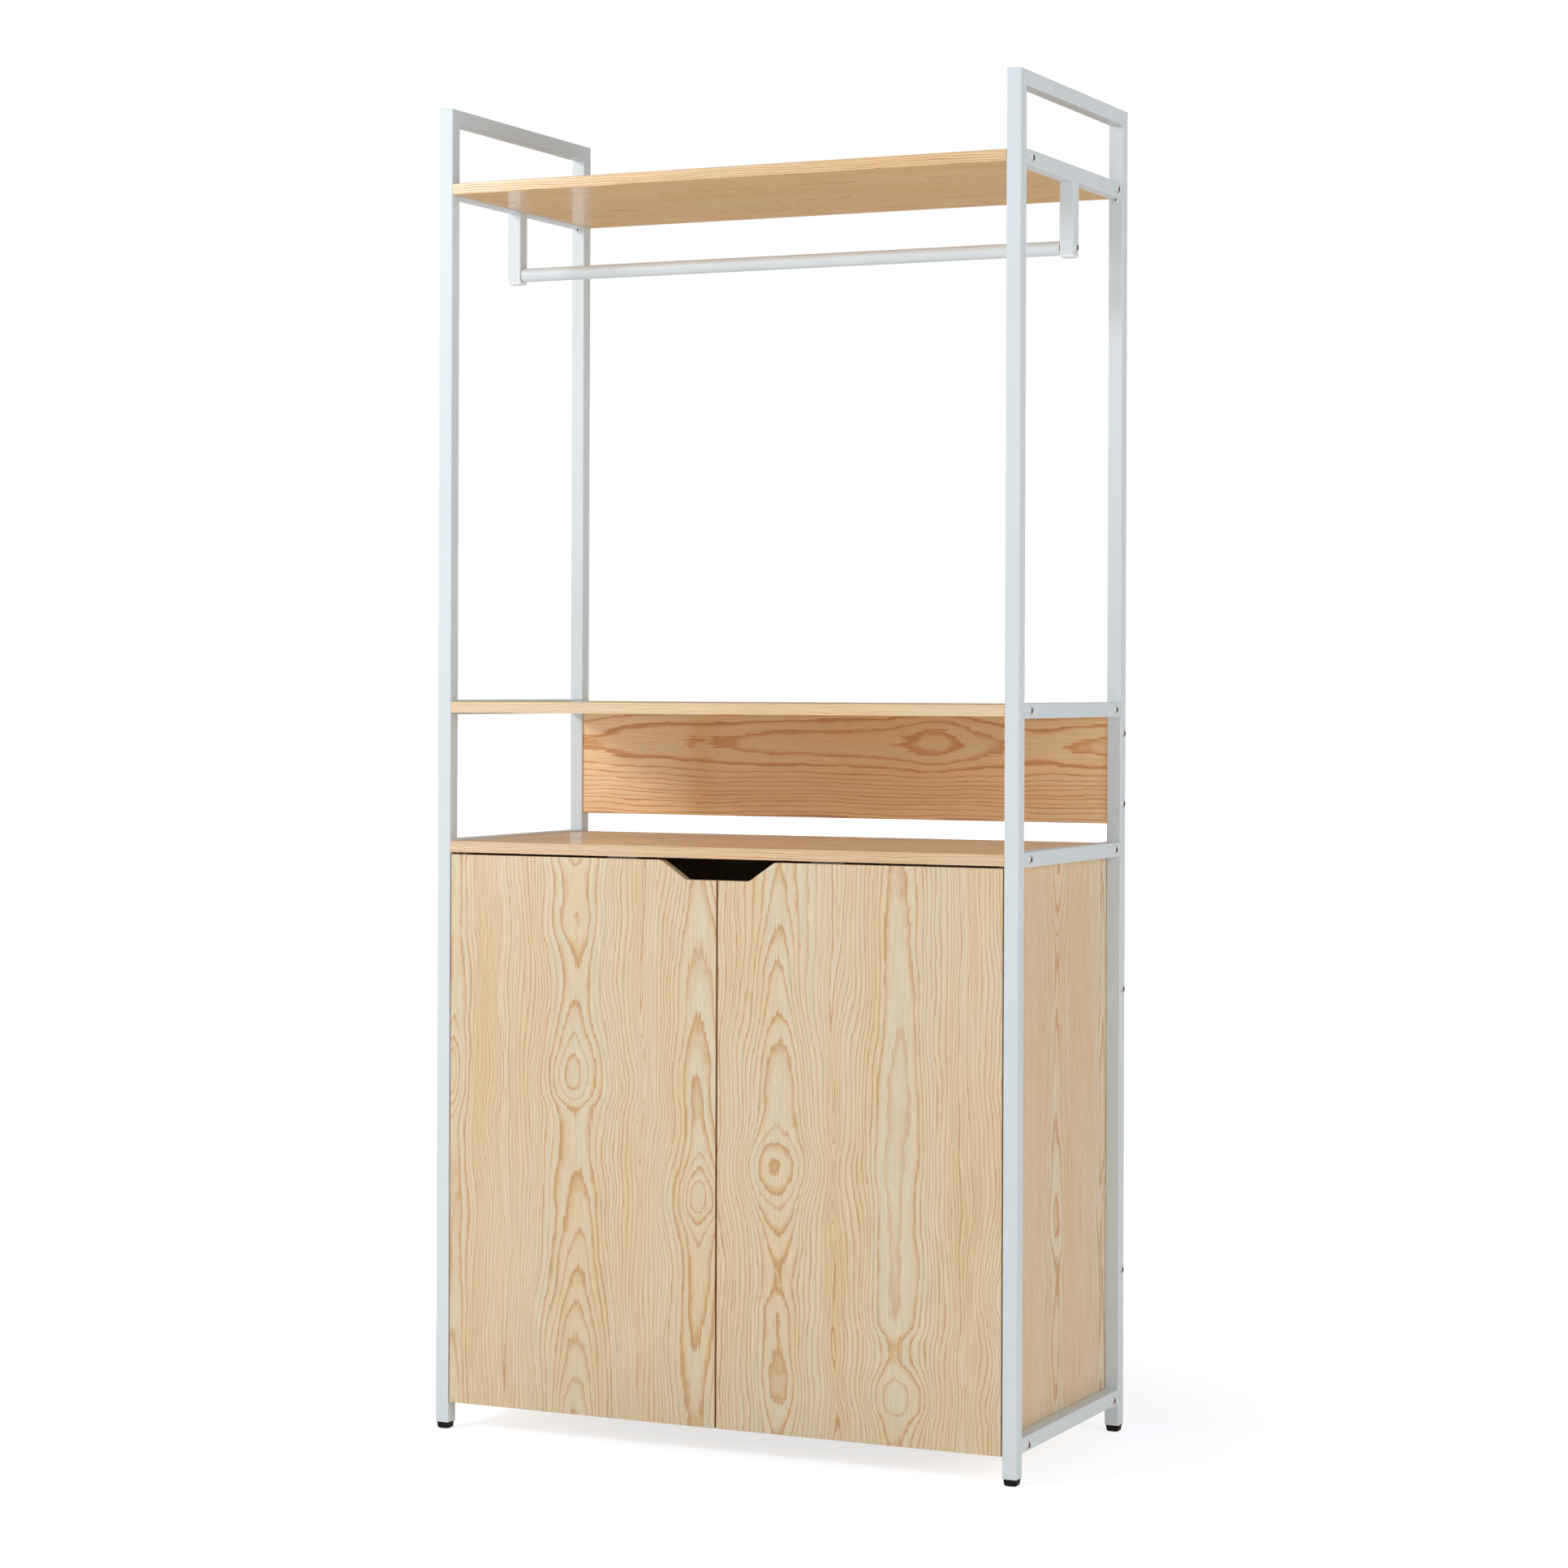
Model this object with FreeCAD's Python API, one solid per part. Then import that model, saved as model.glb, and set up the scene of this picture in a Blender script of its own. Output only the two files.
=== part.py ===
import FreeCAD, Part

import math
import os
from FreeCAD import Vector

# Hall stand: two welded square-tube side frames carry a top shelf, a clothes rail, a middle shelf
# and a two-door cabinet. Millimetres. X runs to the right, Y from the front to the rear, Z up.
# The origin is on the floor, in the middle of the four feet.

# Overall size
overall_width = 850.0
overall_depth = 400.0
overall_height = 1800.0

# Square tube of the side frames
tube_side = 20.0
tube_wall = 1.2
tube_corner_radius = 1.5

# Share of a tube's corner radius by which the coped end of another tube reaches round the corner
cope_share = 0.85

# Height above the floor of the underside of the two lower pairs of rails
bottom_rail_height = 39.0
cabinet_top_rail_height = 784.0

# From the cabinet's rails up to the rails of the middle shelf
compartment_pitch = 190.0

# From the top of the stand down to the underside of the upper pair of rails
upper_shelf_rail_drop = 120.0

# Small vent in the underside of each upper shelf rail, beside the rear post
vent_radius = 2.0
vent_from_post = 4.5

# Hanging bracket under each upper shelf rail, at mid depth
bracket_length = 97.0
bracket_cap_height = 3.0
bracket_cap_bevel = 1.5
bracket_cap_plug_below_screw = 1.0

# End plug and foot of each post
plug_flange_thickness = 1.0
plug_flange_inset = 0.4
plug_body_height = 18.0
plug_clearance = 0.3
foot_height = 9.0
foot_top_side = 18.6
foot_bottom_side = 16.4
foot_corner_radius = 3.0
foot_bottom_rounding = 1.2
foot_pin_radius = 3.0
foot_pin_height = 12.0
foot_pin_clearance = 0.3

# Boards
board_thickness = 15.0
board_edge_radius = 0.8
screw_row_inset = 40.0

# Doors and the gaps round them
door_side_gap = 1.5
door_centre_gap = 2.4
door_top_gap = 3.0
door_overhang = 2.0
door_back_gap = 4.0
notch_depth = 25.5
notch_top_half_width = 83.0
notch_bottom_half_width = 46.0
notch_upper_radius = 13.0
notch_lower_radius = 9.0

# Board behind the open compartment
gap_under_backboard = 27.0
backboard_screw_inset = 25.0
backboard_lower_screw_inset = 27.0

# Share of the back panel's height at which each screw goes through the rear post
back_panel_screw_shares = (0.227, 0.75)

# Loose shelf inside the cabinet and the pegs that it lies on
inner_shelf_height = 412.0
inner_shelf_side_gap = 0.5
inner_shelf_front_setback = 36.0
inner_shelf_rear_gap = 0.5
peg_radius = 2.5
peg_depth = 9.0
peg_hole_clearance = 0.1
peg_plate_length = 10.0
peg_plate_width = 8.0
peg_plate_thickness = 1.5
peg_front_inset = 50.0
peg_rear_inset = 50.0
peg_row_pitch = 64.0
peg_row_count = 3

# Clothes rail
rail_radius = 9.5
rail_wall = 1.0
rail_above_bracket_tube_end = 10.0
rail_plug_flange_radius = 10.0
rail_plug_flange_thickness = 2.0
rail_plug_body_length = 22.0
rail_plug_clearance = 0.1

# Screws and the threaded inserts in the board ends
screw_radius = 3.0
screw_head_radius = 6.0
screw_head_edge = 1.0
screw_head_height = 3.0
screw_reach = 14.0
screw_hole_clearance = 0.2
insert_radius = 5.0
insert_length = 12.0
insert_clearance = 0.05
insert_bore_clearance = 0.1
insert_hole_extra_depth = 8.0

# Dowels between the side panels and the boards above and below them
dowel_radius = 4.0
dowel_length = 20.0
dowel_clearance = 0.1
dowel_end_inset = 60.0

# Concealed hinges. Across is from the door's outer edge, behind is from its front face.
hinge_from_door_end = 100.0
hinge_pin_across = 9.0
hinge_pin_behind = 4.6
hinge_pin_radius = 1.0
hinge_pin_clearance = 0.05
hinge_pin_overhang = 1.0
cup_edge_distance = 3.0
cup_radius = 17.5
cup_clearance = 0.1
cup_wall = 0.6
cup_floor_thickness = 0.4
cup_floor_to_eye_gap = 0.2
cup_flange_thickness = 1.0
cup_flange_length = 62.0
cup_flange_inner_reach = 42.0
cup_flange_outer_reach = 2.5
cup_flange_corner_radius = 5.0
cup_ear_thickness = 1.2
cup_ear_gap = 0.3
cup_ear_radius = 2.1
finger_width = 8.0
finger_thickness = 2.0
finger_slope_deg = 13.0
finger_eye_radius = 2.0
neck_across = 24.2
neck_thickness = 2.4
arm_start_behind = 24.0
arm_end_behind = 82.0
arm_width = 14.0
arm_wall = 1.4
plate_thickness = 2.0
plate_start_behind = 42.0
plate_end_behind = 70.0
plate_length = 48.0
plate_corner_radius = 6.0

# Magnetic catch of each door
catch_from_centre = 150.0
catch_length = 46.0
catch_depth = 14.0
catch_height = 12.0
catch_corner_radius = 2.0
catch_gap = 0.3
catch_pole_thickness = 1.5
catch_pole_height = 9.0
catch_pole_spacing = 10.0
strike_length = 36.0
strike_height = 14.0
strike_thickness = 1.2
strike_corner_radius = 3.0
strike_hole_radius = 2.0
strike_below_door_top = 2.0

# Cuts run past the face that they leave by this much, and points this close share one plane
overrun = 1.0
same_place = 0.001

# Places worked out from the sizes above
half_width = overall_width / 2
half_depth = overall_depth / 2
inside_half_width = half_width - tube_side
post_bottom = foot_height + plug_flange_thickness
post_centre_x = half_width - tube_side / 2
post_centre_y = half_depth - tube_side / 2
board_lift = (tube_side - board_thickness) / 2
board_half = board_thickness / 2
screw_row_y = half_depth - screw_row_inset
cabinet_bottom_top = bottom_rail_height + board_thickness
cabinet_top_underside = cabinet_top_rail_height + board_lift
middle_shelf_rail_height = cabinet_top_rail_height + compartment_pitch
middle_shelf_underside = middle_shelf_rail_height + board_lift
rear_board_centre_y = post_centre_y
rear_board_front_y = rear_board_centre_y - board_half
rear_board_back_y = rear_board_centre_y + board_half
door_back_y = -half_depth + board_thickness
side_panel_front_y = door_back_y + door_back_gap
side_panel_inner_x = inside_half_width - board_thickness
door_outer_x = inside_half_width - door_side_gap
door_bottom = bottom_rail_height - door_overhang
door_top = cabinet_top_underside - door_top_gap
upper_shelf_rail_height = overall_height - upper_shelf_rail_drop
bracket_tube_end = upper_shelf_rail_height - bracket_length
clothes_rail_height = bracket_tube_end + rail_above_bracket_tube_end
screw_hole_radius = screw_radius + screw_hole_clearance
cope_reach = tube_corner_radius * cope_share
sides = {"left": -1, "right": 1}


def box(x_range, y_range, z_range):
    """Block between two places along each axis."""
    x0, x1 = sorted(x_range)
    y0, y1 = sorted(y_range)
    z0, z1 = sorted(z_range)
    return Part.makeBox(x1 - x0, y1 - y0, z1 - z0, Vector(x0, y0, z0))


def rod(radius, start, end):
    """Round bar between two points."""
    line = end - start
    return Part.makeCylinder(radius, line.Length, start, line)


def outline(points):
    """Closed wire through the points."""
    return Part.makePolygon(list(points) + [points[0]])


def rounded_rectangle(width, height, radius):
    """Closed wire of a rectangle with round corners, centred on the origin in the XY plane."""
    across = width / 2 - radius
    along = height / 2 - radius
    edges = []
    corners = [(across, along, 0), (-across, along, 90), (-across, -along, 180), (across, -along, 270)]
    places = []
    for x, y, turn in corners:
        start, middle, end = (math.radians(turn + step) for step in (0, 45, 90))
        points = [
            Vector(x + radius * math.cos(angle), y + radius * math.sin(angle), 0)
            for angle in (start, middle, end)
        ]
        places.append(points)
    for index, points in enumerate(places):
        following = places[(index + 1) % len(places)]
        edges.append(Part.Arc(*points).toShape())
        edges.append(Part.LineSegment(points[-1], following[0]).toShape())
    return Part.Wire(edges)


def square_bar(length):
    """Solid square bar standing on the origin along Z, with the outside of the tube."""
    face = Part.Face(rounded_rectangle(tube_side, tube_side, tube_corner_radius))
    return face.extrude(Vector(0, 0, length))


def square_tube(length):
    """Hollow square tube standing on the origin along Z."""
    bore = tube_side / 2 - tube_wall
    hollow = box((-bore, bore), (-bore, bore), (-overrun, length + overrun))
    return square_bar(length).cut(hollow)


def cross_board(y_range, z_range, reach):
    """Board along X, as long to the left as to the right, with its four long edges rounded."""
    (y0, y1), (z0, z1) = y_range, z_range
    shape = Part.Face(rounded_rectangle(z1 - z0, y1 - y0, board_edge_radius))
    shape = shape.extrude(Vector(0, 0, reach * 2))
    shape.rotate(Vector(0, 0, 0), Vector(0, 1, 0), 90)
    shape.translate(Vector(-reach, (y0 + y1) / 2, (z0 + z1) / 2))
    return shape


def upright_board(x_range, y_range, z_range):
    """Board whose four upright edges are rounded."""
    x0, x1 = sorted(x_range)
    (y0, y1), (z0, z1) = y_range, z_range
    shape = Part.Face(rounded_rectangle(x1 - x0, y1 - y0, board_edge_radius))
    shape = shape.extrude(Vector(0, 0, z1 - z0))
    shape.translate(Vector((x0 + x1) / 2, (y0 + y1) / 2, z0))
    return shape


def soften_faces(shape, y_places):
    """The shape with every edge rounded that lies in an upright plane at one of the places."""
    edges = [
        edge
        for edge in shape.Edges
        for y in y_places
        if all(abs(vertex.Y - y) < same_place for vertex in edge.Vertexes)
    ]
    return shape.makeFillet(board_edge_radius, edges)


def lying_tube(x, start_y, end_y, centre_z):
    """Square tube along Y between two places."""
    tube = square_tube(end_y - start_y)
    tube.rotate(Vector(0, 0, 0), Vector(1, 0, 0), -90)
    tube.translate(Vector(x, start_y, centre_z))
    return tube


def mitre_wedge(front_or_rear, above):
    """Wedge past the 45 degree mitre between a post and the top rail."""
    outer_y = half_depth + overrun
    inner_y = half_depth - tube_side - overrun
    high = overall_height + overrun
    low = overall_height - tube_side - overrun
    third = (inner_y, high) if above else (outer_y, low)
    points = [(outer_y, high), (inner_y, low), third]
    start_x = -tube_side / 2 - overrun
    wire = outline([Vector(start_x, y * front_or_rear, z) for y, z in points])
    return Part.Face(wire).extrude(Vector(tube_side + overrun * 2, 0, 0))


def side_holes(side, places):
    """Screw holes along X through a tube of one side frame, at each (y, z)."""
    inner_x = side * (inside_half_width - overrun)
    outer_x = side * (half_width + overrun)
    return [rod(screw_hole_radius, Vector(inner_x, y, z), Vector(outer_x, y, z)) for y, z in places]


def board_end_holes(side, places):
    """Blind holes along X in the end of a board, for the threaded inserts."""
    holes = []
    for y, z in places:
        mouth = Vector(side * (inside_half_width + overrun), y, z)
        seat = Vector(side * (inside_half_width - insert_length), y, z)
        end = Vector(side * (inside_half_width - insert_length - insert_hole_extra_depth), y, z)
        holes.append(rod(insert_radius + insert_clearance, mouth, seat))
        holes.append(rod(screw_hole_radius, mouth, end))
    return holes


def rail_screw_places(centre_z):
    """The two (y, z) places at which a rail is screwed to its board."""
    return [(-screw_row_y, centre_z), (screw_row_y, centre_z)]


board_centres = {
    "bottom": bottom_rail_height + board_half,
    "cabinet_top": cabinet_top_underside + board_half,
    "middle_shelf": middle_shelf_underside + board_half,
    "upper_shelf": upper_shelf_rail_height + board_lift + board_half,
}
rail_heights = {
    "bottom": bottom_rail_height,
    "cabinet_top": cabinet_top_rail_height,
    "middle_shelf": middle_shelf_rail_height,
    "upper_shelf": upper_shelf_rail_height,
}
backboard_top = middle_shelf_underside
backboard_bottom = cabinet_top_underside + board_thickness + gap_under_backboard
backboard_screw_places = [
    (rear_board_centre_y, backboard_top - backboard_screw_inset),
    (rear_board_centre_y, backboard_bottom + backboard_lower_screw_inset),
]
back_panel_height = cabinet_top_underside - cabinet_bottom_top
back_panel_screw_places = [
    (rear_board_centre_y, cabinet_bottom_top + back_panel_height * share)
    for share in back_panel_screw_shares
]
rear_post_screw_places = backboard_screw_places + back_panel_screw_places
clothes_rail_screw_places = [(0, clothes_rail_height)]


def post(side, front_or_rear):
    """Upright tube, mitred at the top, open at the bottom for its plug."""
    shape = square_tube(overall_height - post_bottom)
    shape.translate(Vector(0, front_or_rear * post_centre_y, post_bottom))
    shape = shape.cut(mitre_wedge(front_or_rear, True))
    shape.translate(Vector(side * post_centre_x, 0, 0))
    if front_or_rear > 0:
        shape = shape.cut(side_holes(side, rear_post_screw_places))
    return shape


def top_rail(side):
    """Tube over the two posts, mitred at both ends."""
    shape = lying_tube(0, -half_depth, half_depth, overall_height - tube_side / 2)
    shape = shape.cut([mitre_wedge(-1, False), mitre_wedge(1, False)])
    shape.translate(Vector(side * post_centre_x, 0, 0))
    return shape


def shelf_rail(side, level):
    """Tube between the posts that a board is screwed to, its ends coped to the posts' corners."""
    inner_y = half_depth - tube_side
    reach = inner_y + cope_reach
    centre_z = rail_heights[level] + tube_side / 2
    shape = lying_tube(side * post_centre_x, -reach, reach, centre_z)
    posts = []
    for y in (-post_centre_y, post_centre_y):
        bar = square_bar(overall_height)
        bar.translate(Vector(side * post_centre_x, y, 0))
        posts.append(bar)
    shape = shape.cut(posts + side_holes(side, rail_screw_places(board_centres[level])))
    if level == "upper_shelf":
        vent_y = inner_y - vent_from_post
        below = Vector(side * post_centre_x, vent_y, rail_heights[level] - overrun)
        above = Vector(side * post_centre_x, vent_y, rail_heights[level] + tube_side / 2)
        shape = shape.cut(rod(vent_radius, below, above))
    return shape


def hanging_bracket(side):
    """Tube coped to the upper shelf rail, which carries one end of the clothes rail."""
    shape = square_tube(bracket_length + cope_reach)
    shape.translate(Vector(side * post_centre_x, 0, bracket_tube_end))
    rail = square_bar(overall_depth)
    rail.rotate(Vector(0, 0, 0), Vector(1, 0, 0), -90)
    rail_centre_z = upper_shelf_rail_height + tube_side / 2
    rail.translate(Vector(side * post_centre_x, -half_depth, rail_centre_z))
    return shape.cut([rail] + side_holes(side, clothes_rail_screw_places))


def bevelled_block(side_length, height, corner_radius, bevel):
    """Block on the origin with round upright corners, whose lower rim is bevelled inwards."""
    lower = rounded_rectangle(side_length - bevel * 2, side_length - bevel * 2, corner_radius)
    rim = rounded_rectangle(side_length, side_length, corner_radius)
    rim.translate(Vector(0, 0, bevel))
    skirt = Part.makeLoft([lower, rim], True, True)
    body = Part.Face(rim).extrude(Vector(0, 0, height - bevel))
    return skirt.fuse(body).removeSplitter()


def bracket_cap(side):
    """Plastic cap in the lower end of a hanging bracket, whose plug stops below the rail's screw."""
    shape = bevelled_block(tube_side, bracket_cap_height, tube_corner_radius, bracket_cap_bevel)
    plug_side = tube_side - tube_wall * 2 - plug_clearance * 2
    screw_hole_bottom = bracket_cap_height + rail_above_bracket_tube_end - screw_hole_radius
    top = screw_hole_bottom - bracket_cap_plug_below_screw
    plug = box((-plug_side / 2, plug_side / 2), (-plug_side / 2, plug_side / 2), (bracket_cap_height, top))
    hollow_side = plug_side - tube_wall * 2
    hollow = box(
        (-hollow_side / 2, hollow_side / 2),
        (-hollow_side / 2, hollow_side / 2),
        (bracket_cap_height, top + overrun),
    )
    shape = shape.fuse(plug.cut(hollow))
    shape.translate(Vector(side * post_centre_x, 0, bracket_tube_end - bracket_cap_height))
    return shape


def post_plug(x, y):
    """White plug in the open lower end of a post, with a thin flange under the tube."""
    flange_side = tube_side - plug_flange_inset * 2
    flange = Part.Face(rounded_rectangle(flange_side, flange_side, tube_corner_radius))
    flange = flange.extrude(Vector(0, 0, plug_flange_thickness))
    body_side = tube_side - tube_wall * 2 - plug_clearance * 2
    top = plug_flange_thickness + plug_body_height
    body = box((-body_side / 2, body_side / 2), (-body_side / 2, body_side / 2), (plug_flange_thickness, top))
    pin_space = rod(
        foot_pin_radius + foot_pin_clearance,
        Vector(0, 0, -overrun),
        Vector(0, 0, foot_pin_height + foot_pin_clearance),
    )
    shape = flange.fuse(body).cut(pin_space)
    shape.translate(Vector(x, y, foot_height))
    return shape


def foot(x, y):
    """Tapered plastic foot whose pin is pushed into the post's plug."""
    inset = foot_bottom_rounding
    taper_share = inset / foot_height
    rim_side = foot_bottom_side + (foot_top_side - foot_bottom_side) * taper_share
    sole = rounded_rectangle(foot_bottom_side - inset * 2, foot_bottom_side - inset * 2, foot_corner_radius)
    rim = rounded_rectangle(rim_side, rim_side, foot_corner_radius)
    rim.translate(Vector(0, 0, inset))
    top = rounded_rectangle(foot_top_side, foot_top_side, foot_corner_radius)
    top.translate(Vector(0, 0, foot_height))
    shape = Part.makeLoft([sole, rim, top], True, True)
    pin = rod(foot_pin_radius, Vector(0, 0, foot_height), Vector(0, 0, foot_height + foot_pin_height))
    shape = shape.fuse(pin)
    shape.translate(Vector(x, y, 0))
    return shape


def full_board(level):
    """Board across the whole depth between the frames, screwed to both rails."""
    centre_z = board_centres[level]
    z_range = (centre_z - board_half, centre_z + board_half)
    shape = cross_board((-half_depth, half_depth), z_range, inside_half_width)
    for side in sides.values():
        shape = shape.cut(board_end_holes(side, rail_screw_places(centre_z)))
    return shape


def dowel_places():
    """The (side, y) of each dowel that joins a side panel to a board."""
    front_y = side_panel_front_y + dowel_end_inset
    rear_y = rear_board_front_y - dowel_end_inset
    return [(side, y) for side in sides.values() for y in (front_y, rear_y)]


def dowel_bars(joint_z, extra):
    """Bars on the dowel centres, half above and half below a joint, larger by extra all round."""
    centre_x = inside_half_width - board_half
    reach = dowel_length / 2 + extra
    return [
        rod(
            dowel_radius + extra,
            Vector(side * centre_x, y, joint_z - reach),
            Vector(side * centre_x, y, joint_z + reach),
        )
        for side, y in dowel_places()
    ]


def cabinet_top():
    """Board over the cabinet, bored for the side panels' dowels."""
    return full_board("cabinet_top").cut(dowel_bars(cabinet_top_underside, dowel_clearance))


def cabinet_bottom():
    """Board under the cabinet, set back behind the doors."""
    y_range = (side_panel_front_y, rear_board_back_y)
    shape = cross_board(y_range, (bottom_rail_height, cabinet_bottom_top), inside_half_width)
    for side in sides.values():
        shape = shape.cut(board_end_holes(side, rail_screw_places(board_centres["bottom"])))
    return shape.cut(dowel_bars(cabinet_bottom_top, dowel_clearance))


def peg_places():
    """The front and rear y of the pegs, and the height of their centres."""
    front_y = side_panel_front_y + peg_front_inset
    rear_y = rear_board_front_y - peg_rear_inset
    centre_z = inner_shelf_height - peg_plate_thickness - peg_radius
    return (front_y, rear_y), centre_z


def side_panel(side):
    """Upright board against the inside of a side frame, with rows of peg holes."""
    shape = upright_board(
        (side * side_panel_inner_x, side * inside_half_width),
        (side_panel_front_y, rear_board_front_y),
        (cabinet_bottom_top, cabinet_top_underside),
    )
    shape = shape.cut(dowel_bars(cabinet_bottom_top, dowel_clearance))
    shape = shape.cut(dowel_bars(cabinet_top_underside, dowel_clearance))
    row_ys, middle_z = peg_places()
    first_z = middle_z - peg_row_pitch * (peg_row_count // 2)
    mouth_x = side * (side_panel_inner_x - overrun)
    end_x = side * (side_panel_inner_x + peg_depth + peg_hole_clearance)
    holes = []
    for y in row_ys:
        for index in range(peg_row_count):
            z = first_z + peg_row_pitch * index
            holes.append(rod(peg_radius + peg_hole_clearance, Vector(mouth_x, y, z), Vector(end_x, y, z)))
    return shape.cut(holes)


def rear_board(bottom, top, screw_places):
    """Board between the rear posts, screwed through them."""
    y_range = (rear_board_front_y, rear_board_back_y)
    shape = cross_board(y_range, (bottom, top), inside_half_width)
    for side in sides.values():
        shape = shape.cut(board_end_holes(side, screw_places))
    return shape


def inner_shelf():
    """Loose shelf that lies on the pegs."""
    front_y = side_panel_front_y + inner_shelf_front_setback
    rear_y = rear_board_front_y - inner_shelf_rear_gap
    z_range = (inner_shelf_height, inner_shelf_height + board_thickness)
    return cross_board((front_y, rear_y), z_range, side_panel_inner_x - inner_shelf_side_gap)


def shelf_peg(side, y, centre_z):
    """Peg in a side panel, with a flat plate under the loose shelf."""
    inner_x = side_panel_inner_x
    stem = rod(
        peg_radius,
        Vector(side * (inner_x - peg_plate_length), y, centre_z),
        Vector(side * (inner_x + peg_depth), y, centre_z),
    )
    plate = box(
        (side * (inner_x - peg_plate_length), side * inner_x),
        (y - peg_plate_width / 2, y + peg_plate_width / 2),
        (centre_z, centre_z + peg_radius + peg_plate_thickness),
    )
    return stem.fuse(plate)


def notch_outline(side):
    """Face of the finger notch that a door shares with its neighbour, on the door's front plane."""
    top = door_top + overrun
    bottom = door_top - notch_depth
    run = notch_top_half_width - notch_bottom_half_width
    slope = math.atan2(notch_depth, run)
    lower_tangent = notch_lower_radius * math.tan(slope / 2)
    upper_tangent = notch_upper_radius * math.tan(slope / 2)

    def place(x, z):
        return Vector(side * x, -half_depth, z)

    def along_slope(distance, from_x, from_z):
        return place(from_x + distance * math.cos(slope), from_z + distance * math.sin(slope))

    lower_centre = (notch_bottom_half_width - lower_tangent, bottom + notch_lower_radius)
    upper_centre = (notch_top_half_width + upper_tangent, door_top - notch_upper_radius)
    half = slope / 2
    lower_start = place(notch_bottom_half_width - lower_tangent, bottom)
    lower_middle = place(
        lower_centre[0] + notch_lower_radius * math.sin(half),
        lower_centre[1] - notch_lower_radius * math.cos(half),
    )
    lower_end = along_slope(lower_tangent, notch_bottom_half_width, bottom)
    upper_start = along_slope(-upper_tangent, notch_top_half_width, door_top)
    upper_middle = place(
        upper_centre[0] - notch_upper_radius * math.sin(half),
        upper_centre[1] + notch_upper_radius * math.cos(half),
    )
    upper_end = place(notch_top_half_width + upper_tangent, door_top)
    edges = [
        Part.LineSegment(place(-overrun, bottom), lower_start).toShape(),
        Part.Arc(lower_start, lower_middle, lower_end).toShape(),
        Part.LineSegment(lower_end, upper_start).toShape(),
        Part.Arc(upper_start, upper_middle, upper_end).toShape(),
        Part.LineSegment(upper_end, place(notch_top_half_width + upper_tangent, top)).toShape(),
        Part.LineSegment(
            place(notch_top_half_width + upper_tangent, top), place(-overrun, top)
        ).toShape(),
        Part.LineSegment(place(-overrun, top), place(-overrun, bottom)).toShape(),
    ]
    return Part.Face(Part.Wire(edges))


hinge_heights = (door_bottom + hinge_from_door_end, door_top - hinge_from_door_end)
cup_hole_behind = hinge_pin_behind - finger_eye_radius - cup_floor_to_eye_gap - cup_floor_thickness


def hinge_point(side, across, behind, z):
    """Point given from the door's outer edge and its front face."""
    return Vector(side * (door_outer_x - across), -half_depth + behind, z)


def cup_bar(side, radius, behind_start, behind_end, z):
    """Round bar on the axis of a hinge cup."""
    across = cup_edge_distance + cup_radius
    return rod(
        radius,
        hinge_point(side, across, behind_start, z),
        hinge_point(side, across, behind_end, z),
    )


def door(side):
    """Door of one board, with its half of the finger notch and two cup holes in its back."""
    shape = box(
        (side * door_centre_gap / 2, side * door_outer_x),
        (-half_depth, door_back_y),
        (door_bottom, door_top),
    )
    notch = notch_outline(side)
    notch.translate(Vector(0, -overrun, 0))
    shape = shape.cut(notch.extrude(Vector(0, board_thickness + overrun * 2, 0)))
    shape = soften_faces(shape, (-half_depth, door_back_y))
    cups = [
        cup_bar(side, cup_radius, cup_hole_behind, board_thickness + overrun, z)
        for z in hinge_heights
    ]
    return shape.cut(cups)


def hinge_cup(side, z):
    """Pressed cup in the door, with a flange on the door's back and two ears for the pin."""
    outer_radius = cup_radius - cup_clearance
    inner_radius = outer_radius - cup_wall
    rim = board_thickness + cup_flange_thickness
    floor_top = cup_hole_behind + cup_floor_thickness
    shell = cup_bar(side, outer_radius, cup_hole_behind, rim, z)
    middle = (cup_flange_outer_reach + cup_flange_inner_reach) / 2
    width = cup_flange_inner_reach - cup_flange_outer_reach
    flange = Part.Face(rounded_rectangle(width, cup_flange_length, cup_flange_corner_radius))
    flange.rotate(Vector(0, 0, 0), Vector(1, 0, 0), 90)
    flange.translate(hinge_point(side, middle, board_thickness, z))
    flange = flange.extrude(Vector(0, cup_flange_thickness, 0))
    shell = shell.fuse(flange)
    shell = shell.cut(cup_bar(side, inner_radius, floor_top, rim + overrun, z))
    for end in (-1, 1):
        near_z = z + end * (finger_width / 2 + cup_ear_gap)
        far_z = near_z + end * cup_ear_thickness
        ear = rod(
            cup_ear_radius,
            hinge_point(side, hinge_pin_across, hinge_pin_behind, near_z),
            hinge_point(side, hinge_pin_across, hinge_pin_behind, far_z),
        )
        left = side * (door_outer_x - hinge_pin_across + cup_ear_radius)
        right = side * (door_outer_x - hinge_pin_across - cup_ear_radius)
        web = box(
            (left, right),
            (-half_depth + floor_top, -half_depth + hinge_pin_behind),
            (near_z, far_z),
        )
        shell = shell.fuse([ear.fuse(web)])
    bore = rod(
        hinge_pin_radius + hinge_pin_clearance,
        hinge_point(side, hinge_pin_across, hinge_pin_behind, z - cup_radius / 2),
        hinge_point(side, hinge_pin_across, hinge_pin_behind, z + cup_radius / 2),
    )
    return shell.cut(bore).removeSplitter()


def hinge_pin(side, z):
    """Pin through the two ears of a cup and the eye of the arm's finger."""
    half = finger_width / 2 + cup_ear_gap + cup_ear_thickness + hinge_pin_overhang
    return rod(
        hinge_pin_radius,
        hinge_point(side, hinge_pin_across, hinge_pin_behind, z - half),
        hinge_point(side, hinge_pin_across, hinge_pin_behind, z + half),
    )


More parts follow.
